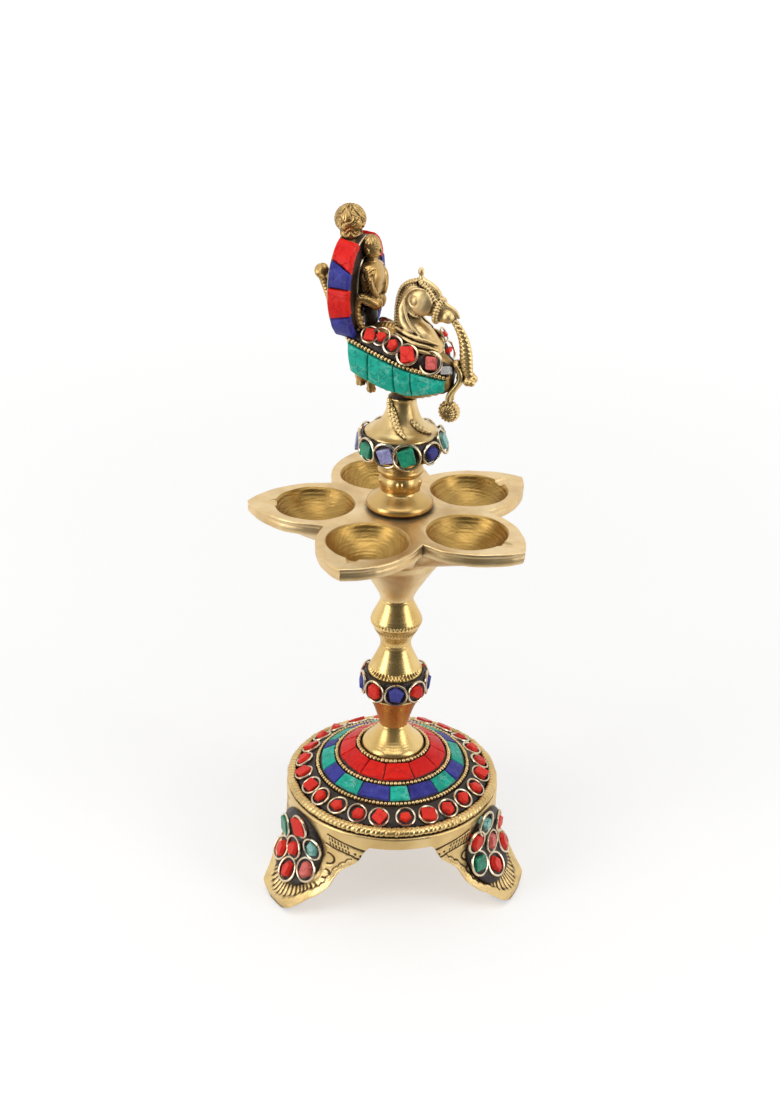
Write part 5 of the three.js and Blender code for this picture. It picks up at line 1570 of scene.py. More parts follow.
def shoulder_point(x, side, share, over):
    """A point over the shoulder: share runs from the wire up to the back."""
    w, top, _, _ = station(x)
    wb, zw = w - WALL_IN, wire_z(x)
    low, high = np.array([wb, zw]), np.array([0.5 * wb, top - 0.2 * (top - zw)])
    run = high - low
    normal = np.array([-run[1], run[0]]) / -norm(run)
    normal = normal if normal[1] > 0 else -normal
    y, z = low + run * share + normal * (over + 0.35 * sin(pi * share))
    return np.array([x, side * y, z]), np.array([0.0, side * normal[0], normal[1]])


def peacock_body():
    rows = []
    for x in np.concatenate([[-16.6, -16.3], np.linspace(-15.8, 15.4, 46), [15.8, 16.0]]):
        w, top, under, low = station(x)
        wb, zw = w - WALL_IN, wire_z(x)
        low = min(low, zw - 1.5)
        half = [(0, top), (0.5 * wb, top - 0.2 * (top - zw)), (wb, zw), (0.97 * wb, zw - 1.2),
            (WING_LOW * w - WALL_IN, low), ((WING_LOW * w - WALL_IN) * 0.5,
            under + 0.2 * (low - under)), (0, under)]
        ring = half + [(-y, z) for y, z in half[-2:0:-1]]
        ring = smooth_line(ring, 4, closed=True)
        rows.append([(x, y, z) for y, z in ring])
    shells = add_rows(Shells(), rows)
    for side in (-1, 1):
        for x, z, r in ((-12.2, 3.0, 1.7), (-8.8, 1.5, 1.6)):
            y = side * 3.2
            add_ball(shells, (x, y, z + 2.2), (r, r, 2.6))
            for k in range(4):
                a = k * pi / 2 + 0.5
                add_ball(shells, (x + 0.8 * cos(a), y + 0.8 * sin(a), z - 0.2), (0.75, 0.75, 1.2),
                    rings=8, columns=12)
            add_rod(shells, [(x, y, z + 5.5), (x, y, z + 3), (x, y, z + 1)], 1.2)
    for k in range(12):
        x = -15.6 + k * 1.15
        grow = 1 + 0.09 * max(0, k - 5)
        add_ball(shells, (x, 0, station(x)[1] + 0.1), (0.66 * grow, 1.8, 0.8 * grow), rings=8,
            columns=12)

    def feathers(p, n):
        ease = held((BIRD_Z + 6 - p[:, 2]) / 4)
        along = p[:, 0] * cos(rad(BIRD_AZ)) + p[:, 1] * sin(rad(BIRD_AZ))
        return 0.12 * ripple(p, 4.0, 6) - 0.12 * ease * cos(2 * pi * along / 2.0)

    bird_cast("peacock_cast_body", shells, 0.3, 2, feathers, old_brass, "peacock_body", 60)


def rod_line(points, radius, spacing):
    path = even(smooth_line(points, 6), spacing)
    return path, np.interp(np.linspace(0, 1, len(path)), np.linspace(0, 1, len(radius)), radius)


def ribs_along(points, path, reach, pitch, depth):
    """Cuts across a line at an even pitch, for the points that lie near it."""
    steps = np.concatenate([[0], np.cumsum(norm(np.diff(path, axis=0), axis=1))])
    cuts = np.zeros(len(points))
    close = np.flatnonzero((np.abs(points - path.mean(axis=0)) < np.ptp(path,
        axis=0) / 2 + reach).all(axis=1))
    for part in np.array_split(close, 1 + len(close) // 20000):
        far = norm(points[part][:, None] - path[None], axis=2)
        near = far.argmin(axis=1)
        hold = held((reach - far[np.arange(len(part)), near]) / 0.25)
        cuts[part] = -depth * hold * (0.5 + 0.5 * cos(2 * pi * steps[near] / pitch)) ** 2
    return cuts


def peacock_head():
    s = Shells()
    ribbed = []

    def rod(points, radius, flat=1.0, up=(0, 1, 0), pitch=0.0, depth=0.2):
        path, size = rod_line(points, radius, 0.4)
        add_rod(s, path, size, sides=18, flat=flat, start_up=up)
        if pitch:
            ribbed.append((even(path, 0.1), max(radius) * max(flat, 1) + 0.35, pitch, depth))

    # neck, and the two big round cheeks
    rod([(5.6, 0, 14.6), (4.0, 0, 18.0), (1.9, 0, 21.5), (1.0, 0, 25.0), (1.8, 0, 29.0),
        (3.4, 0, 31.6)], [6.6, 5.6, 4.1, 3.1, 3.2, 3.2], flat=0.82)
    add_ball(s, (4.5, 0, 29.2), (4.2, 3.3, 4.5))
    for k in (-1, 1):
        add_ball(s, (5.8, 2.3 * k, 29.3), (3.9, 1.55, 3.95), rings=18, columns=28)
    # snout, round muzzle and tip
    rod([(6.4, 0, 29.2), (9.2, 0, 28.2), (11.6, 0, 27.0), (13.4, 0, 26.5), (15.4, 0, 26.6),
        (16.6, 0, 25.9)], [4.2, 3.7, 3.0, 2.0, 1.1, 0.55], flat=0.72)
    add_ball(s, (11.4, 0, 25.9), (2.3, 1.9, 2.1))
    add_ball(s, (13.4, 0, 25.8), (2.2, 2.35, 2.05), rings=18, columns=28)
    # forehead ridge with a twisted cord on each side of it
    rod([(4.6, 0, 35.2), (6.6, 0, 34.5), (8.8, 0, 33.3), (10.2, 0, 31.8), (11.4, 0, 30.0),
        (13.0, 0, 28.7), (15.2, 0, 27.6), (16.4, 0, 26.3)], [0.9, 0.95, 0.95, 0.95, 0.9, 0.85,
        0.75, 0.5])
    for k in (-1, 1):
        rod([(4.8, 1.0 * k, 34.4), (7.4, 1.5 * k, 33.2), (9.2, 1.8 * k, 31.4),
            (10.8, 1.8 * k, 29.6)], [0.6, 0.8, 0.8, 0.6], pitch=0.9, depth=0.22)
        # ribbed strap round the snout
        rod([(11.4, 0.3 * k, 30.4), (11.2, 1.6 * k, 29.6), (10.9, 2.6 * k, 28.0),
            (10.5, 2.7 * k, 26.2), (10.2, 2.0 * k, 24.8), (10.0, 0.3 * k, 23.9)],
            [0.9, 0.95, 1.0, 1.0, 0.95, 0.9], pitch=0.8, depth=0.26)
        # rim of the cheek
        a = rad(np.linspace(60, 275, 44))
        rim = side_by_side(5.4 + 4.05 * cos(a), (3.1 - 0.5 * cos(a) ** 2) * k + 0 * a,
            29.3 + 4.15 * sin(a))
        add_rod(s, rim, np.interp(np.linspace(0, 1, 44), (0, 0.3, 0.8, 1), (0.2, 0.5, 0.5, 0.2)),
            sides=12, start_up=(0, 1, 0))
        # leaf that folds down the side of the neck, with a sharp front edge
        rod([(0.7, 2.2 * k, 29.6), (0.3, 2.7 * k, 27.0), (0.7, 3.1 * k, 24.2),
            (2.0, 3.6 * k, 22.2), (4.6, 4.0 * k, 20.9)], [0.5, 1.1, 1.3, 1.1, 0.5], flat=0.5)
        rod([(1.1, 2.9 * k, 30.4), (1.4, 3.5 * k, 27.5), (2.5, 4.0 * k, 24.6),
            (4.2, 4.4 * k, 22.4), (6.8, 4.6 * k, 20.5)], [0.25, 0.42, 0.48, 0.45, 0.3])
        # folds round the foot of the neck
        for drop, out in ((0, 0), (1.6, 0.4), (3.2, 0.8)):
            rod([(-1.4, (3.2 + out) * k, 21.2 - drop), (3.0, (4.6 + out) * k, 20.3 - drop),
                (6.8, (4.9 + out) * k, 19.5 - drop), (9.4, (3.9 + out) * k, 18.9 - drop),
                (11.4, (1.8 + out) * k, 17.6 - drop)], [0.4, 0.6, 0.65, 0.6, 0.4])
    # ribbed mane and the small knot on the crown
    rod([(-1.4, 0, 17.6), (-2.2, 0, 20.4), (-2.35, 0, 23.2), (-2.25, 0, 25.8), (-2.0, 0, 28.2),
        (-1.5, 0, 30.6), (-0.4, 0, 32.7), (1.6, 0, 34.1), (4.2, 0, 35.0)], [0.8, 0.85, 0.85, 0.85,
        0.85, 0.85, 0.85, 0.82, 0.75], flat=1.9, pitch=0.86, depth=0.26)
    rod([(4.9, 0, 34.8), (4.8, 0, 36.4)], [1.2, 0.6])
    add_ball(s, (4.7, 0, 37.5), (0.9, 0.8, 1.3), rings=14, columns=20)
    turn = turn_z(-BIRD_AZ)

    def marks(p, n):
        q = p @ turn.T
        q[:, 2] -= BIRD_Z
        depth = 0.05 * ripple(p, 2.4, 12)
        for path, reach, pitch, cut in ribbed:
            depth += ribs_along(q, path, reach, pitch, cut)
        eye = np.hypot(q[:, 0] - 3.9, q[:, 2] - 29.7)
        side = np.abs(q[:, 1]) > 2.4
        depth -= 0.22 * line_cut(eye - 1.35, 0.25) * side
        depth += 0.2 * held(1 - eye / 0.9) * side
        return depth

    bird_cast("peacock_cast_neck", s, 0.18, 1, marks, painted_highlight_brass, "peacock_neck")


def wing_stones():
    joints = [(-14.2, -14.0), (-7.0, -7.6), (1.0, 1.2), (6.0, 6.2), (14.8, 14.4)]
    for letter, side in (("r", -1), ("l", 1)):
        rng = default_rng(70 + side)
        for i in range(4):
            (a_up, a_low), (b_up, b_low) = joints[i], joints[i + 1]
            s = edge_steps(b_up - a_up, middle=12)
            t = edge_steps(11, middle=12)
            tone = rng.uniform(-1, 1)
            droop = rng.uniform(-0.35, 0.45, 3)
            grid = np.zeros((len(s), len(t), 3))
            for j, u in enumerate(s):
                for k, v in enumerate(t):
                    x0, x1 = a_up + (a_low - a_up) * v + 0.16, b_up + (b_low - b_up) * v - 0.16
                    x = x0 + (x1 - x0) * u
                    w, _, _, low = station(x)
                    zt = wire_z(x) - 0.95
                    zl = low + droop[0] + (droop[1] - droop[0]) * u
                    z = zt + (zl - zt) * v
                    y = w * (1 - (1 - WING_LOW) * v * (zt - zl) / (wire_z(x) - low)) + (0.5 *
                        sin(pi * v) + 0.12 * sin(pi * u) - 0.35)
                    d = min(u * (x1 - x0), (1 - u) * (x1 - x0), v * (zt - zl), (1 - v) * (zt - zl))
                    y -= rounded_drop(d, 0.5)
                    grid[j, k] = (x, side * y, z)
            grid[..., 1] += side * 0.09 * ripple(grid, 3.4, 5 + i)
            shells = Shells()
            add_slab(shells, grid, lambda p: p - np.array([0, side * 1.25, 0]), tone)
            piece(f"wing_stone_{letter}{i + 1}", bird_shells(shells), "finial",
                turquoise, [f"wing_tile_{letter}{i + 1}"], crease=40)
        line = []
        for x in np.linspace(-14.6, 15.2, 40):
            w = station(x)[0]
            line.append((x, side * (w - WALL_IN + 0.9), wire_z(x) + 0.05))
        beads = bead_row(f"wing_beads_{letter}", from_bird(line), 0.68, 1.12, 80 + side)
        finish_piece(new_object(beads), "finial", bead_brass,
            [f"wing_wire_{letter}"])


# Cells on each shoulder: place along the back, share from wire to back, ring size, half
# sizes of the chip, and the stone
NEAR_CELLS = ((-7.8, 0.66, 2.6, (2.0, 1.4), "coral"), (-4.4, 0.74, 2.65, (1.6, 1.6), "coral"),
    (-0.3, 0.6, 2.75, (1.8, 1.6), "coral"), (4.5, 0.45, 3.0, (2.2, 2.0), "coral"),
    (11.0, 0.52, 3.2, (1.75, 1.35), "pink"), (14.9, 0.5, 0, (1.1, 1.5), "pale"))
FAR_CELLS = ((-8.4, 0.5, 2.7, (1.9, 1.7), "coral"), (-3.4, 0.42, 2.9, (2.0, 1.7), "coral"),
    (2.4, 0.42, 3.0, (2.1, 2.0), "lapis"), (7.2, 0.4, 2.9, (1.9, 1.9), "coral"))
# Two more stand on the far lapel, which rises beside the throat
LAPEL = ((11.6, 3.4, 10.6), (10.6, 4.6, 13.4), (9.2, 5.2, 16.0), (8.0, 5.4, 18.2))
LAPEL_CELLS = (((12.2, 4.4, 14.2), (0.9, -0.1, 0.42), 2.9), ((10.3, 4.9, 18.7), (0.86, 0.2, 0.5),
    2.1))


def back_cells():
    for letter, side, cells in (("r", -1, NEAR_CELLS), ("l", 1, FAR_CELLS)):
        rows = []
        for x in np.linspace(-13.4, 15.0, 72):
            line = [shoulder_point(x, side, share, over) for share, over in ((0.02, -0.3),
                (0.02, 0.45), (0.08, 0.8), (0.2, 0.95), (0.34, 1.0), (0.48, 1.0), (0.62, 1.0),
                (0.76, 1.0), (0.9, 0.9), (1.0, 0.5), (1.0, -0.3), (0.5, -0.3))]
            rows.append([p + n * 0.14 * ripple(p, 2.4, 3) for p, n in line])
        lac = add_rows(Shells(), rows)
        if side > 0:
            path = even(smooth_line(LAPEL, 8), 0.4)
            size = np.interp(np.linspace(0, 1, len(path)), (0, 0.4, 1), (1.9, 1.9, 1.2))
            add_rod(lac, path, size, sides=20, flat=0.8, start_up=(0.4, 1, 0))
        piece(f"back_lac_{letter}", bird_shells(lac), "finial", black_lac,
            [f"back_cell_band_{letter}"])
        rng = default_rng(90 + side)
        places, sizes, chips = [], [], {}

        def stand(p, n, ring, half, kind, square):
            n = unit(n)
            if ring:
                places.append((from_bird(p), turn_z(BIRD_AZ) @ n))
                sizes.append(ring)
            box = Shells()
            add_chip(box, p - n * 1.0, n, (1, 0, 0.2 + rng.uniform(-0.3, 0.3)), np.array(half),
                1.7, rng, square, rng.uniform(-1, 1))
            bird_shells(box)
            chips.setdefault(kind, Shells()).add(*box.arrays())

        for x, share, ring, half, kind in cells:
            p, n = shoulder_point(x, side, share, 1.4 + 0.9 * max(0, ring - 2.7))
            stand(p, n + np.array([0.08, 0, 0]) + rng.normal(0, 0.04, 3), ring, half, kind,
                kind == "pink" or rng.random() < 0.3)
        if side > 0:
            for p, n, ring in LAPEL_CELLS:
                stand(np.array(p), np.array(n), ring, (1.5, 0.9), "coral", False)
        wire_cells(f"back_cell_wires_{letter}", "finial", places, 1.0, 0.12, 92 + side, 0.04,
            sizes)
        chip_pieces(f"back_%s_chips_{letter}", chips, "finial", f"back_chips_{letter}")


def garland_and_scroll():
    s = Shells()
    path = even(smooth_line([(15.3, 0, 24.7), (16.6, 0, 23.0), (17.6, 0, 21.4), (18.6, 0, 19.0),
        (19.2, 0, 16.2), (19.5, 0, 13.6), (19.8, 0, 11.2), (20.3, 0, 9.6)], 8), 0.2)
    n = np.arange(len(path))
    size = np.interp(n / len(n), (0, 0.15, 0.4, 0.65, 0.85, 1), (1.0, 1.25, 1.65, 2.0, 1.9, 1.6))
    add_rod(s, path, size, sides=24, start_up=(0, 1, 0), flat=0.8)
    for k in range(5):
        a = rad(72 * k + 20)
        add_ball(s, (20.9 + 1.05 * cos(a), 1.1 * sin(a) * 0.8, 8.3 + 0.7 * sin(a)),
            (1.25, 1.15, 1.35))
    add_ball(s, (21.3, 0, 7.2), (1.1, 1.1, 0.9))
    leaves = lambda p, n: 0.09 * cos(2 * pi * (p[:, 2] / 1.2)) * cos(4 * np.arctan2(n[:, 1],
        n[:, 0])) - 0.08
    bird_cast("beak_garland_cast", s, 0.14, 1, leaves, cast_brass, "beak_garland")

    s = Shells()
    strap = smooth_line([(16.6, 0, 12.0), (17.9, 0, 10.0), (17.9, 0, 8.0), (16.9, 0, 6.0),
        (15.6, 0, 4.2), (14.7, 0, 2.4), (14.6, 0, 0.8)], 8)
    add_rod(s, strap, 1.5, sides=20, flat=0.5, start_up=(1, 0, 0))
    for side in (-1, 1):
        edge = even(strap + np.array([0.3, 1.25 * side, 0]), 0.2)
        add_rod(s, edge, 0.8, sides=14)
    top = even(strap[:16] + np.array([0.1, 0, 0.2]), 0.15)
    n = np.arange(len(top))
    add_rod(s, top, 1.5 * (1 + 0.16 * cos(2 * pi * n * 0.15 / 0.85)), sides=16, flat=0.8,
        start_up=(1, 0, 0))
    add_ball(s, (14.9, 0, -2.4), (3.2, 2.6, 3.2), rings=24, columns=36)
    middle = from_bird(np.array([14.9, 0, -2.4]))

    def shell_ribs(p, n):
        q = (p - middle) @ turn_z(BIRD_AZ)
        round_y = np.arctan2(q[:, 2], q[:, 0])
        ball = held((3.6 - norm(q, axis=1)) / 0.3)
        return ball * (0.17 * cos(round_y * 17) - 0.3 * line_cut(np.abs(q[:, 1]) - 1.5, 0.25))

    bird_cast("breast_scroll_cast", s, 0.15, 1, shell_ribs, cast_brass, "breast_scroll")


peacock_body()
peacock_head()
wing_stones()
back_cells()
garland_and_scroll()


# Tail hoop, crest, curl and the seated figure

HOOP_Z = 30.55
HOOP_TOP = HOOP_Z + HOOP_HALF_H
# Joints between the tiles, as angles at the back and at the front edge of the hoop
HOOP_JOINTS = {-1: ((22, 28), (52, 65), (82.5, 82.5), (118.5, 112), (147, 150)),
    1: ((18, 22), (70, 62), (92, 96), (116, 119), (148, 146))}
TILE_BACK, TILE_FRONT = -2.6, 3.9
FACE_BACK, FACE_FRONT = -2.9, 3.5
FACE_WIDTH = 5.4


def hoop_at(angle, grow, x):
    a = rad(angle)
    return np.array([HOOP_X + x, (HOOP_HALF_W + grow) * sin(a),
        HOOP_Z + (HOOP_HALF_H + grow) * cos(a)])


def tail_hoop():
    half = HOOP_DEPTH / 2
    angles = np.linspace(-152, 152, 150)
    section = [(0.0, -half + 0.3), (0.0, half - 0.3), (-0.3, half), (-HOOP_BAND + 0.3, half),
        (-HOOP_BAND, half - 0.3), (-HOOP_BAND, -half + 0.3), (-HOOP_BAND + 0.3, -half),
        (-0.3, -half)]
    rows = [[hoop_at(a, g, x) for g, x in section] for a in angles]
    piece("hoop_band", bird_shells(add_rows(Shells(), rows)), "finial", cast_brass,
        ["tail_hoop"], crease=30)
    lac, wires_shells = Shells(), Shells()
    for face, out in ((1, FACE_FRONT), (-1, -FACE_BACK)):
        outline = [(0.7, half - 0.5), (0.6, out - 0.35), (0.1, out), (-1.4, out + 0.15),
            (-FACE_WIDTH + 0.5, out), (-FACE_WIDTH, out - 0.4), (-FACE_WIDTH, half - 1.4),
            (-HOOP_BAND + 0.3, half - 1.4)]
        rows = [[p + np.array([0.1 * face * ripple(p, 1.8, 4), 0, 0]) for p in (hoop_at(a, g,
            face * x) for g, x in outline)] for a in np.linspace(-146, 146, 150)]
        add_rows(lac, rows)
        for grow in (0.55, -FACE_WIDTH + 0.4):
            line = [hoop_at(a, grow, face * (out + 0.05)) for a in np.linspace(-144, 144, 140)]
            add_rod(wires_shells, from_bird(line), 0.27, sides=8)
    # the lac mound under the figure, and the bed that it sits against
    add_ball(lac, (-10.9, 0.3, 22.2), (1.9, 2.7, 4.6), rings=18, columns=28)
    a = np.arange(72) * 5.0
    reach = np.array([0.2, 0.45, 0.7, 0.9, 1.0])
    oval = lambda k, x: side_by_side(0 * a + HOOP_X + x,
        (HOOP_HALF_W - FACE_WIDTH + 0.5) * k * sin(rad(a)),
        HOOP_Z + (HOOP_HALF_H - FACE_WIDTH + 0.5) * k * cos(rad(a)))
    rows = [oval(k, -0.4) for k in reach] + [oval(k, -1.8) for k in reach[::-1]]
    rows = [row + np.array([0.15, 0, 0]) * ripple(row, 2.4, 8)[:, None] for row in rows]
    add_rows(lac, rows)
    piece("hoop_lac", bird_shells(lac), "finial", black_lac)
    piece("hoop_wires", wires_shells, "finial", wire_brass)
    for letter, side in (("r", -1), ("l", 1)):
        rng = default_rng(100 + side)
        for i in range(4):
            (b0, f0), (b1, f1) = HOOP_JOINTS[side][i:i + 2]
            wide = TILE_FRONT - TILE_BACK
            length = rad((b1 + f1 - b0 - f0) / 2) * 13
            s = edge_steps(length, middle=10)
            t = edge_steps(wide, middle=6)
            bulge = rng.uniform(0.35, 0.7)
            lean = rng.uniform(-0.25, 0.25)
            grid = np.zeros((len(s), len(t), 3))
            for j, u in enumerate(s):
                for k, v in enumerate(t):
                    d = min(u * length, (1 - u) * length, v * wide, (1 - v) * wide)
                    grow = (1.75 + bulge * (4 * u * (1 - u)) * 0.5 + lean * (2 * v - 1) -
                        rounded_drop(d, 0.5))
                    first, last = b0 + (f0 - b0) * v + 0.7, b1 + (f1 - b1) * v - 0.7
                    grid[j, k] = hoop_at(side * (first + (last - first) * u), grow,
                        TILE_BACK + wide * v)
            grid += 0.07 * ripple(grid, 3.0, 60 + 5 * i + side)[..., None] * np.array([0.4, 1, 1])
            shells = Shells()
            centre = np.array([HOOP_X, 0, HOOP_Z])

            def base(p):
                flat = (p - centre) * np.array([0, 1, 1])
                return p - flat / norm(flat, axis=1)[:, None] * 1.5

            add_slab(shells, grid, base, rng.uniform(-1, 1))
            slot, finish = (("coral_stone", coral), ("lapis_stone", lapis))[i % 2]
            piece(f"hoop_stone_{letter}{i + 1}", bird_shells(shells), "finial", finish,
                [f"hoop_tile_{letter}{i + 1}"], crease=40)


tail_hoop()


def crest_and_curl():
    s = Shells()
    x, z = HOOP_X - 1.7, HOOP_TOP + 4.75
    add_ball(s, (x, 0, z), (4.6, 4.6, 4.4), rings=24, columns=40)
    add_rod(s, [(x + 0.5, 0, z - 4.6), (x + 0.2, 0, z - 2.6)], 3.3, sides=24, ends=2)
    middle = from_bird(np.array([x, 0, z]))

    def swirl(p, n):
        q = p - middle
        turn = np.arctan2(q[:, 1], q[:, 0])
        high = q[:, 2] / 4.4
        phase = 4 * turn + 1.3 * sin(3.4 * high + 2 * turn)
        leaf = held(1 - np.abs(sin(phase)) / 0.42)
        cross = 3.1 * high + 0.9 * sin(4 * turn + 1.0)
        leaf = np.maximum(leaf, held(1 - np.abs(sin(cross)) / 0.3))
        vein = held(1 - np.abs(sin(2.5 * phase + 3 * cross)) / 0.5)
        zigzag = np.abs((turn * 7 / (2 * pi)) % 1 - 0.5) * 2
        collar = line_cut(high + 0.62 + 0.3 * zigzag, 0.09) + line_cut(high + 0.36 + 0.3 * zigzag,
            0.08)
        upper = held((high + 0.3) / 0.15)
        return -0.4 * leaf * upper - 0.14 * vein * upper - 0.35 * collar

    bird_cast("hoop_crest_cast", s, 0.17, 1, swirl, old_brass, "hoop_crest")

    s = Shells()
    path = even(smooth_line([(-17.8, 0, 15.6), (-20.2, 0, 17.8), (-22.6, 0, 22.0),
        (-24.4, 0, 27.0), (-26.2, 0, 31.2)], 8), 0.3)
    n = np.arange(len(path))
    add_rod(s, path, 1.3 * (1 + 0.07 * cos(n * 1.9)), sides=18)
    add_ball(s, (-26.6, 0, 33.2), (2.2, 2.3, 2.2), rings=18, columns=28)
    knob = from_bird(np.array([-26.6, 0, 33.2]))
    twist = lambda p, n: 0.14 * cos(5 * np.arctan2(p[:, 1] - knob[1], p[:, 0] - knob[0]) + 1.3 *
        (p[:, 2] - knob[2])) * (p[:, 2] > knob[2] - 2)
    bird_cast("tail_curl_cast", s, 0.15, 1, twist, old_brass, "tail_curl")


def seated_figure():
    """A small seated figure with a calm, plain face that looks towards the bird's head."""
    s = Shells()
    x = -10.8

    def rod(points, radius):
        path, size = rod_line([(x + a, b, c) for a, b, c in points], radius, 0.3)
        add_rod(s, path, size, sides=16, start_up=(0, 1, 0))

    # hips, waist, chest and shoulders
    add_ball(s, (x + 0.1, 0, 27.9), (2.7, 3.9, 2.3))
    add_ball(s, (x + 0.2, 0, 31.2), (3.1, 4.4, 3.8), rings=18, columns=28)
    add_ball(s, (x + 0.2, 0, 33.8), (3.4, 4.9, 4.8), rings=20, columns=32)
    add_ball(s, (x + 0.1, 0, 36.7), (2.8, 4.9, 2.0), rings=16, columns=28)
    # thighs spread to both sides; the near shin hangs down, the far one is tucked in
    rod([(3.4, -3.6, 27.0), (1.8, -4.9, 28.2), (-0.2, -5.6, 28.9), (-1.3, -6.0, 28.0),
        (-1.8, -6.0, 25.6), (-1.6, -5.9, 23.5), (-1.2, -5.4, 21.6), (0.1, -4.4, 18.9)],
        [1.4, 1.4, 1.4, 1.35, 1.3, 1.25, 1.15, 1.0])
    rod([(1.0, 1.6, 28.0), (2.4, 1.6, 27.4), (2.7, 0.6, 26.2)], [1.7, 1.6, 1.45])
    add_ball(s, (x + 3.1, -2.7, 27.0), (1.8, 1.8, 1.9))
    add_ball(s, (x + 1.0, -3.0, 28.2), (2.4, 2.6, 2.0))
    # arms
    rod([(0.6, -4.2, 36.4), (1.6, -4.5, 34.0), (2.3, -4.0, 31.4), (3.0, -2.8, 29.2)],
        [1.0, 1.0, 0.95, 0.9])
    rod([(0.6, 4.2, 36.4), (2.0, 4.0, 34.0), (2.7, 3.2, 31.4), (2.9, 2.2, 29.4)],
        [1.2, 1.3, 1.2, 1.0])
    # neck, head, hair and ears
    rod([(0.0, 0, 37.6), (0.1, 0, 40.2)], [1.7, 1.6])
    add_ball(s, (x + 0.1, 0, 42.2), (2.5, 2.6, 3.2), rings=22, columns=34)
    add_ball(s, (x - 0.4, 0, 43.0), (2.55, 2.9, 2.8), rings=20, columns=32)
    add_ball(s, (x + 1.3, 0, 40.5), (0.95, 1.25, 0.9))
    for k in (-1, 1):
        add_ball(s, (x - 0.1, 2.75 * k, 41.8), (0.55, 0.4, 1.0), rings=10, columns=14)
    # nose, closed lids and lips, small and even
    rod([(2.5, 0, 42.6), (2.9, 0, 41.75), (2.85, 0, 41.5)], [0.22, 0.36, 0.34])
    for k in (-1, 1):
        rod([(2.3, 0.5 * k, 42.55), (2.38, 1.0 * k, 42.45), (2.05, 1.5 * k, 42.55)],
            [0.2, 0.3, 0.18])
        rod([(2.35, 0.45 * k, 43.15), (2.33, 1.0 * k, 43.35), (1.95, 1.6 * k, 43.2)],
            [0.14, 0.18, 0.12])
    rod([(2.25, -0.6, 40.7), (2.5, 0, 40.65), (2.25, 0.6, 40.7)], [0.16, 0.3, 0.16])
    turn = turn_z(-BIRD_AZ)

    def dress(p, n):
        q = p @ turn.T
        h = q[:, 2] - BIRD_Z
        chest = held((h - 29.0) / 1.0) * held((37.4 - h) / 0.8)
        back = (q[:, 0] < x + 2.2)
        folds = np.abs(((h - 1.1 * np.abs(q[:, 0] - x - 0.2) + 0.3 * sin(1.7 * h)) / 1.25) % 1 -
            0.5) * 2
        depth = -0.32 * chest * back * held(1 - folds * 1.5)
        depth -= 0.2 * chest * line_cut(q[:, 0] - x - 2.3, 0.22)
        shin = (q[:, 1] < -2.9) & (h < 27.2)
        depth -= 0.16 * shin * held(cos(2 * pi * h / 1.3))
        hair = held((h - 43.5) / 0.3) + (q[:, 0] < x - 0.8) * held((h - 40.4) / 0.4)
        depth += 0.14 * held(hair) * (1 + 0.5 * cos(np.arctan2(q[:, 1], q[:, 0] - x) * 14))
        return depth

    bird_cast("seated_figure_cast", s, 0.13, 1, dress, old_brass, "seated_figure")


crest_and_curl()
seated_figure()


# Floor, camera and light

CAMERA_AT = np.array([70.72, -431.85, 330.9])
VIEW_YAW, VIEW_PITCH, VIEW_ROLL, VIEW_TURN = -0.33, 26.37, 1.46, 9.3


def set_camera():
    yaw, pitch, roll = rad(VIEW_YAW), rad(VIEW_PITCH), rad(VIEW_ROLL)
    forward = np.array([sin(yaw) * cos(pitch), cos(yaw) * cos(pitch), -sin(pitch)])
    side = unit(np.cross(forward, (0, 0, 1)))
    above = np.cross(side, forward)
    right = cos(roll) * side + sin(roll) * above
    up = -sin(roll) * side + cos(roll) * above
    turn = turn_z(VIEW_TURN)
    columns = [turn @ right, turn @ up, -(turn @ forward)]
    matrix = Matrix(np.transpose(columns).tolist()).to_4x4()
    matrix.translation = Vector(CAMERA_AT * MM)
    data = bpy.data.cameras.new("view")
    data.lens = 51.81
    data.sensor_width = 36.0
    data.clip_start = 0.02
    camera = bpy.data.objects.new("view", data)
    bpy.context.scene.collection.objects.link(camera)
    camera.matrix_world = matrix
    bpy.context.scene.camera = camera


def floor_finish():
    material = bpy.data.materials.new("studio_floor")
    material.use_nodes = True
    tree = material.node_tree
    tree.nodes.clear()
    end = tree.nodes.new("ShaderNodeOutputMaterial")
    place = tree.nodes.new("ShaderNodeTexCoord").outputs["Object"]
    away = put(tree, "ShaderNodeVectorMath", {0: place}, out=1, operation="LENGTH")
    light = tree.nodes.new("ShaderNodeLightPath").outputs
    seen = calc(tree, "MAXIMUM", calc(tree, "MAXIMUM", light["Is Camera Ray"],
        light["Is Glossy Ray"]), light["Is Transmission Ray"])
    far = spread(tree, away, 0.12, 0.9)
    toward = Vector((CAMERA_AT[0], CAMERA_AT[1], 0.0)).normalized()
    front = put(tree, "ShaderNodeVectorMath", {0: place, 1: toward}, out=1,
        operation="DOT_PRODUCT")
    shade = times(tree, spread(tree, front, 0.05, 0.2), light["Is Glossy Ray"])
    matte = put(tree, "ShaderNodeBsdfDiffuse",
        {"Color": blend_colour(tree, shade, (0.56, 0.56, 0.555, 1.0), (0.05, 0.04, 0.03, 1.0))})
    level = times_plus(tree, far, 0.35, 0.5)
    level = times(tree, level, times_plus(tree, shade, -0.94, 1.0))
    glow = put(tree, "ShaderNodeEmission", {"Color": (1, 1, 1, 1), "Strength": times(tree, seen,
        level)})
    feed(end, "Surface", put(tree, "ShaderNodeAddShader", {0: matte, 1: glow}))
    return material


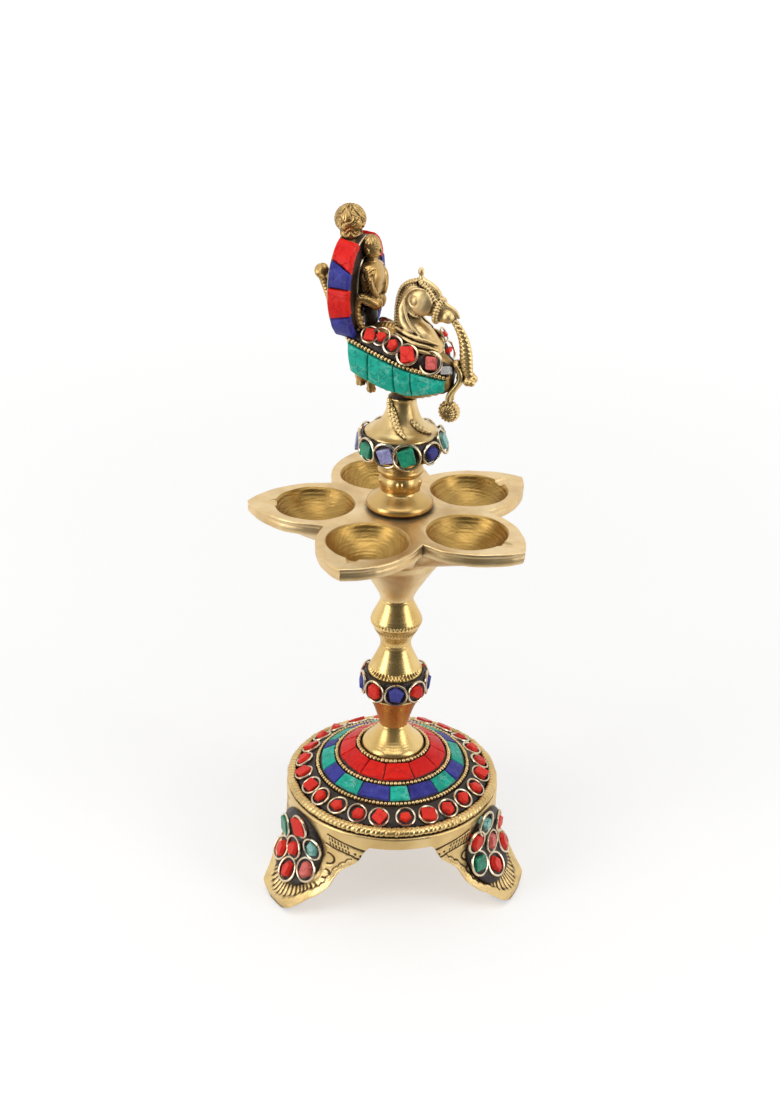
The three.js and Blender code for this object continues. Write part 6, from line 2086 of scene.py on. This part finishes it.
def floor():
    mesh = bpy.data.meshes.new("studio_floor")
    mesh.from_pydata([(-6, -6, 0), (6, -6, 0), (6, 6, 0), (-6, 6, 0)], [], [(0, 1, 2, 3)])
    mesh.materials.append(floor_finish())
    new_object(mesh)


def soft_box(name, azimuth, distance, height, size, radiance):
    data = bpy.data.lights.new(name, "AREA")
    data.shape = "RECTANGLE"
    data.size, data.size_y = size
    data.energy = radiance * pi * size[0] * size[1]
    lamp = bpy.data.objects.new(name, data)
    bpy.context.scene.collection.objects.link(lamp)
    at = Vector((distance * cos(rad(azimuth)), distance * sin(rad(azimuth)), height))
    lamp.location = at
    lamp.rotation_euler = (at - Vector((0, 0, 0.11))).to_track_quat("Z", "Y").to_euler()


def studio_world():
    world = bpy.data.worlds.new("studio")
    bpy.context.scene.world = world
    world.use_nodes = True
    tree = world.node_tree
    tree.nodes.clear()
    end = tree.nodes.new("ShaderNodeOutputWorld")
    way = tree.nodes.new("ShaderNodeTexCoord").outputs["Generated"]
    toward = Vector((CAMERA_AT[0], CAMERA_AT[1], 60.0)).normalized()
    facing = put(tree, "ShaderNodeVectorMath", {0: way, 1: toward}, out=1, operation="DOT_PRODUCT")
    room = spread(tree, facing, -0.15, 0.5, 1.0, 0.1)
    light = tree.nodes.new("ShaderNodeLightPath").outputs
    clear = calc(tree, "MAXIMUM", light["Is Camera Ray"], light["Is Transmission Ray"])
    soft = times(tree, calc(tree, "SUBTRACT", 1.0, light["Is Glossy Ray"]), 0.35)
    level = calc(tree, "SUBTRACT", room, times(tree, soft, room))
    strength = calc(tree, "MAXIMUM", level, clear)
    back = put(tree, "ShaderNodeBackground", {"Color": (1, 1, 1, 1), "Strength": strength})
    feed(end, "Surface", back)


set_camera()
floor()
soft_box("left_box", 279.3 - 58, 0.62, 0.3, (0.3, 0.62), 3.4)
soft_box("right_box", 279.3 + 62, 0.62, 0.3, (0.26, 0.62), 3.0)
soft_box("top_box", 279.3, 0.2, 0.74, (0.6, 0.4), 2.3)
studio_world()
bpy.context.scene.view_settings.view_transform = "Standard"
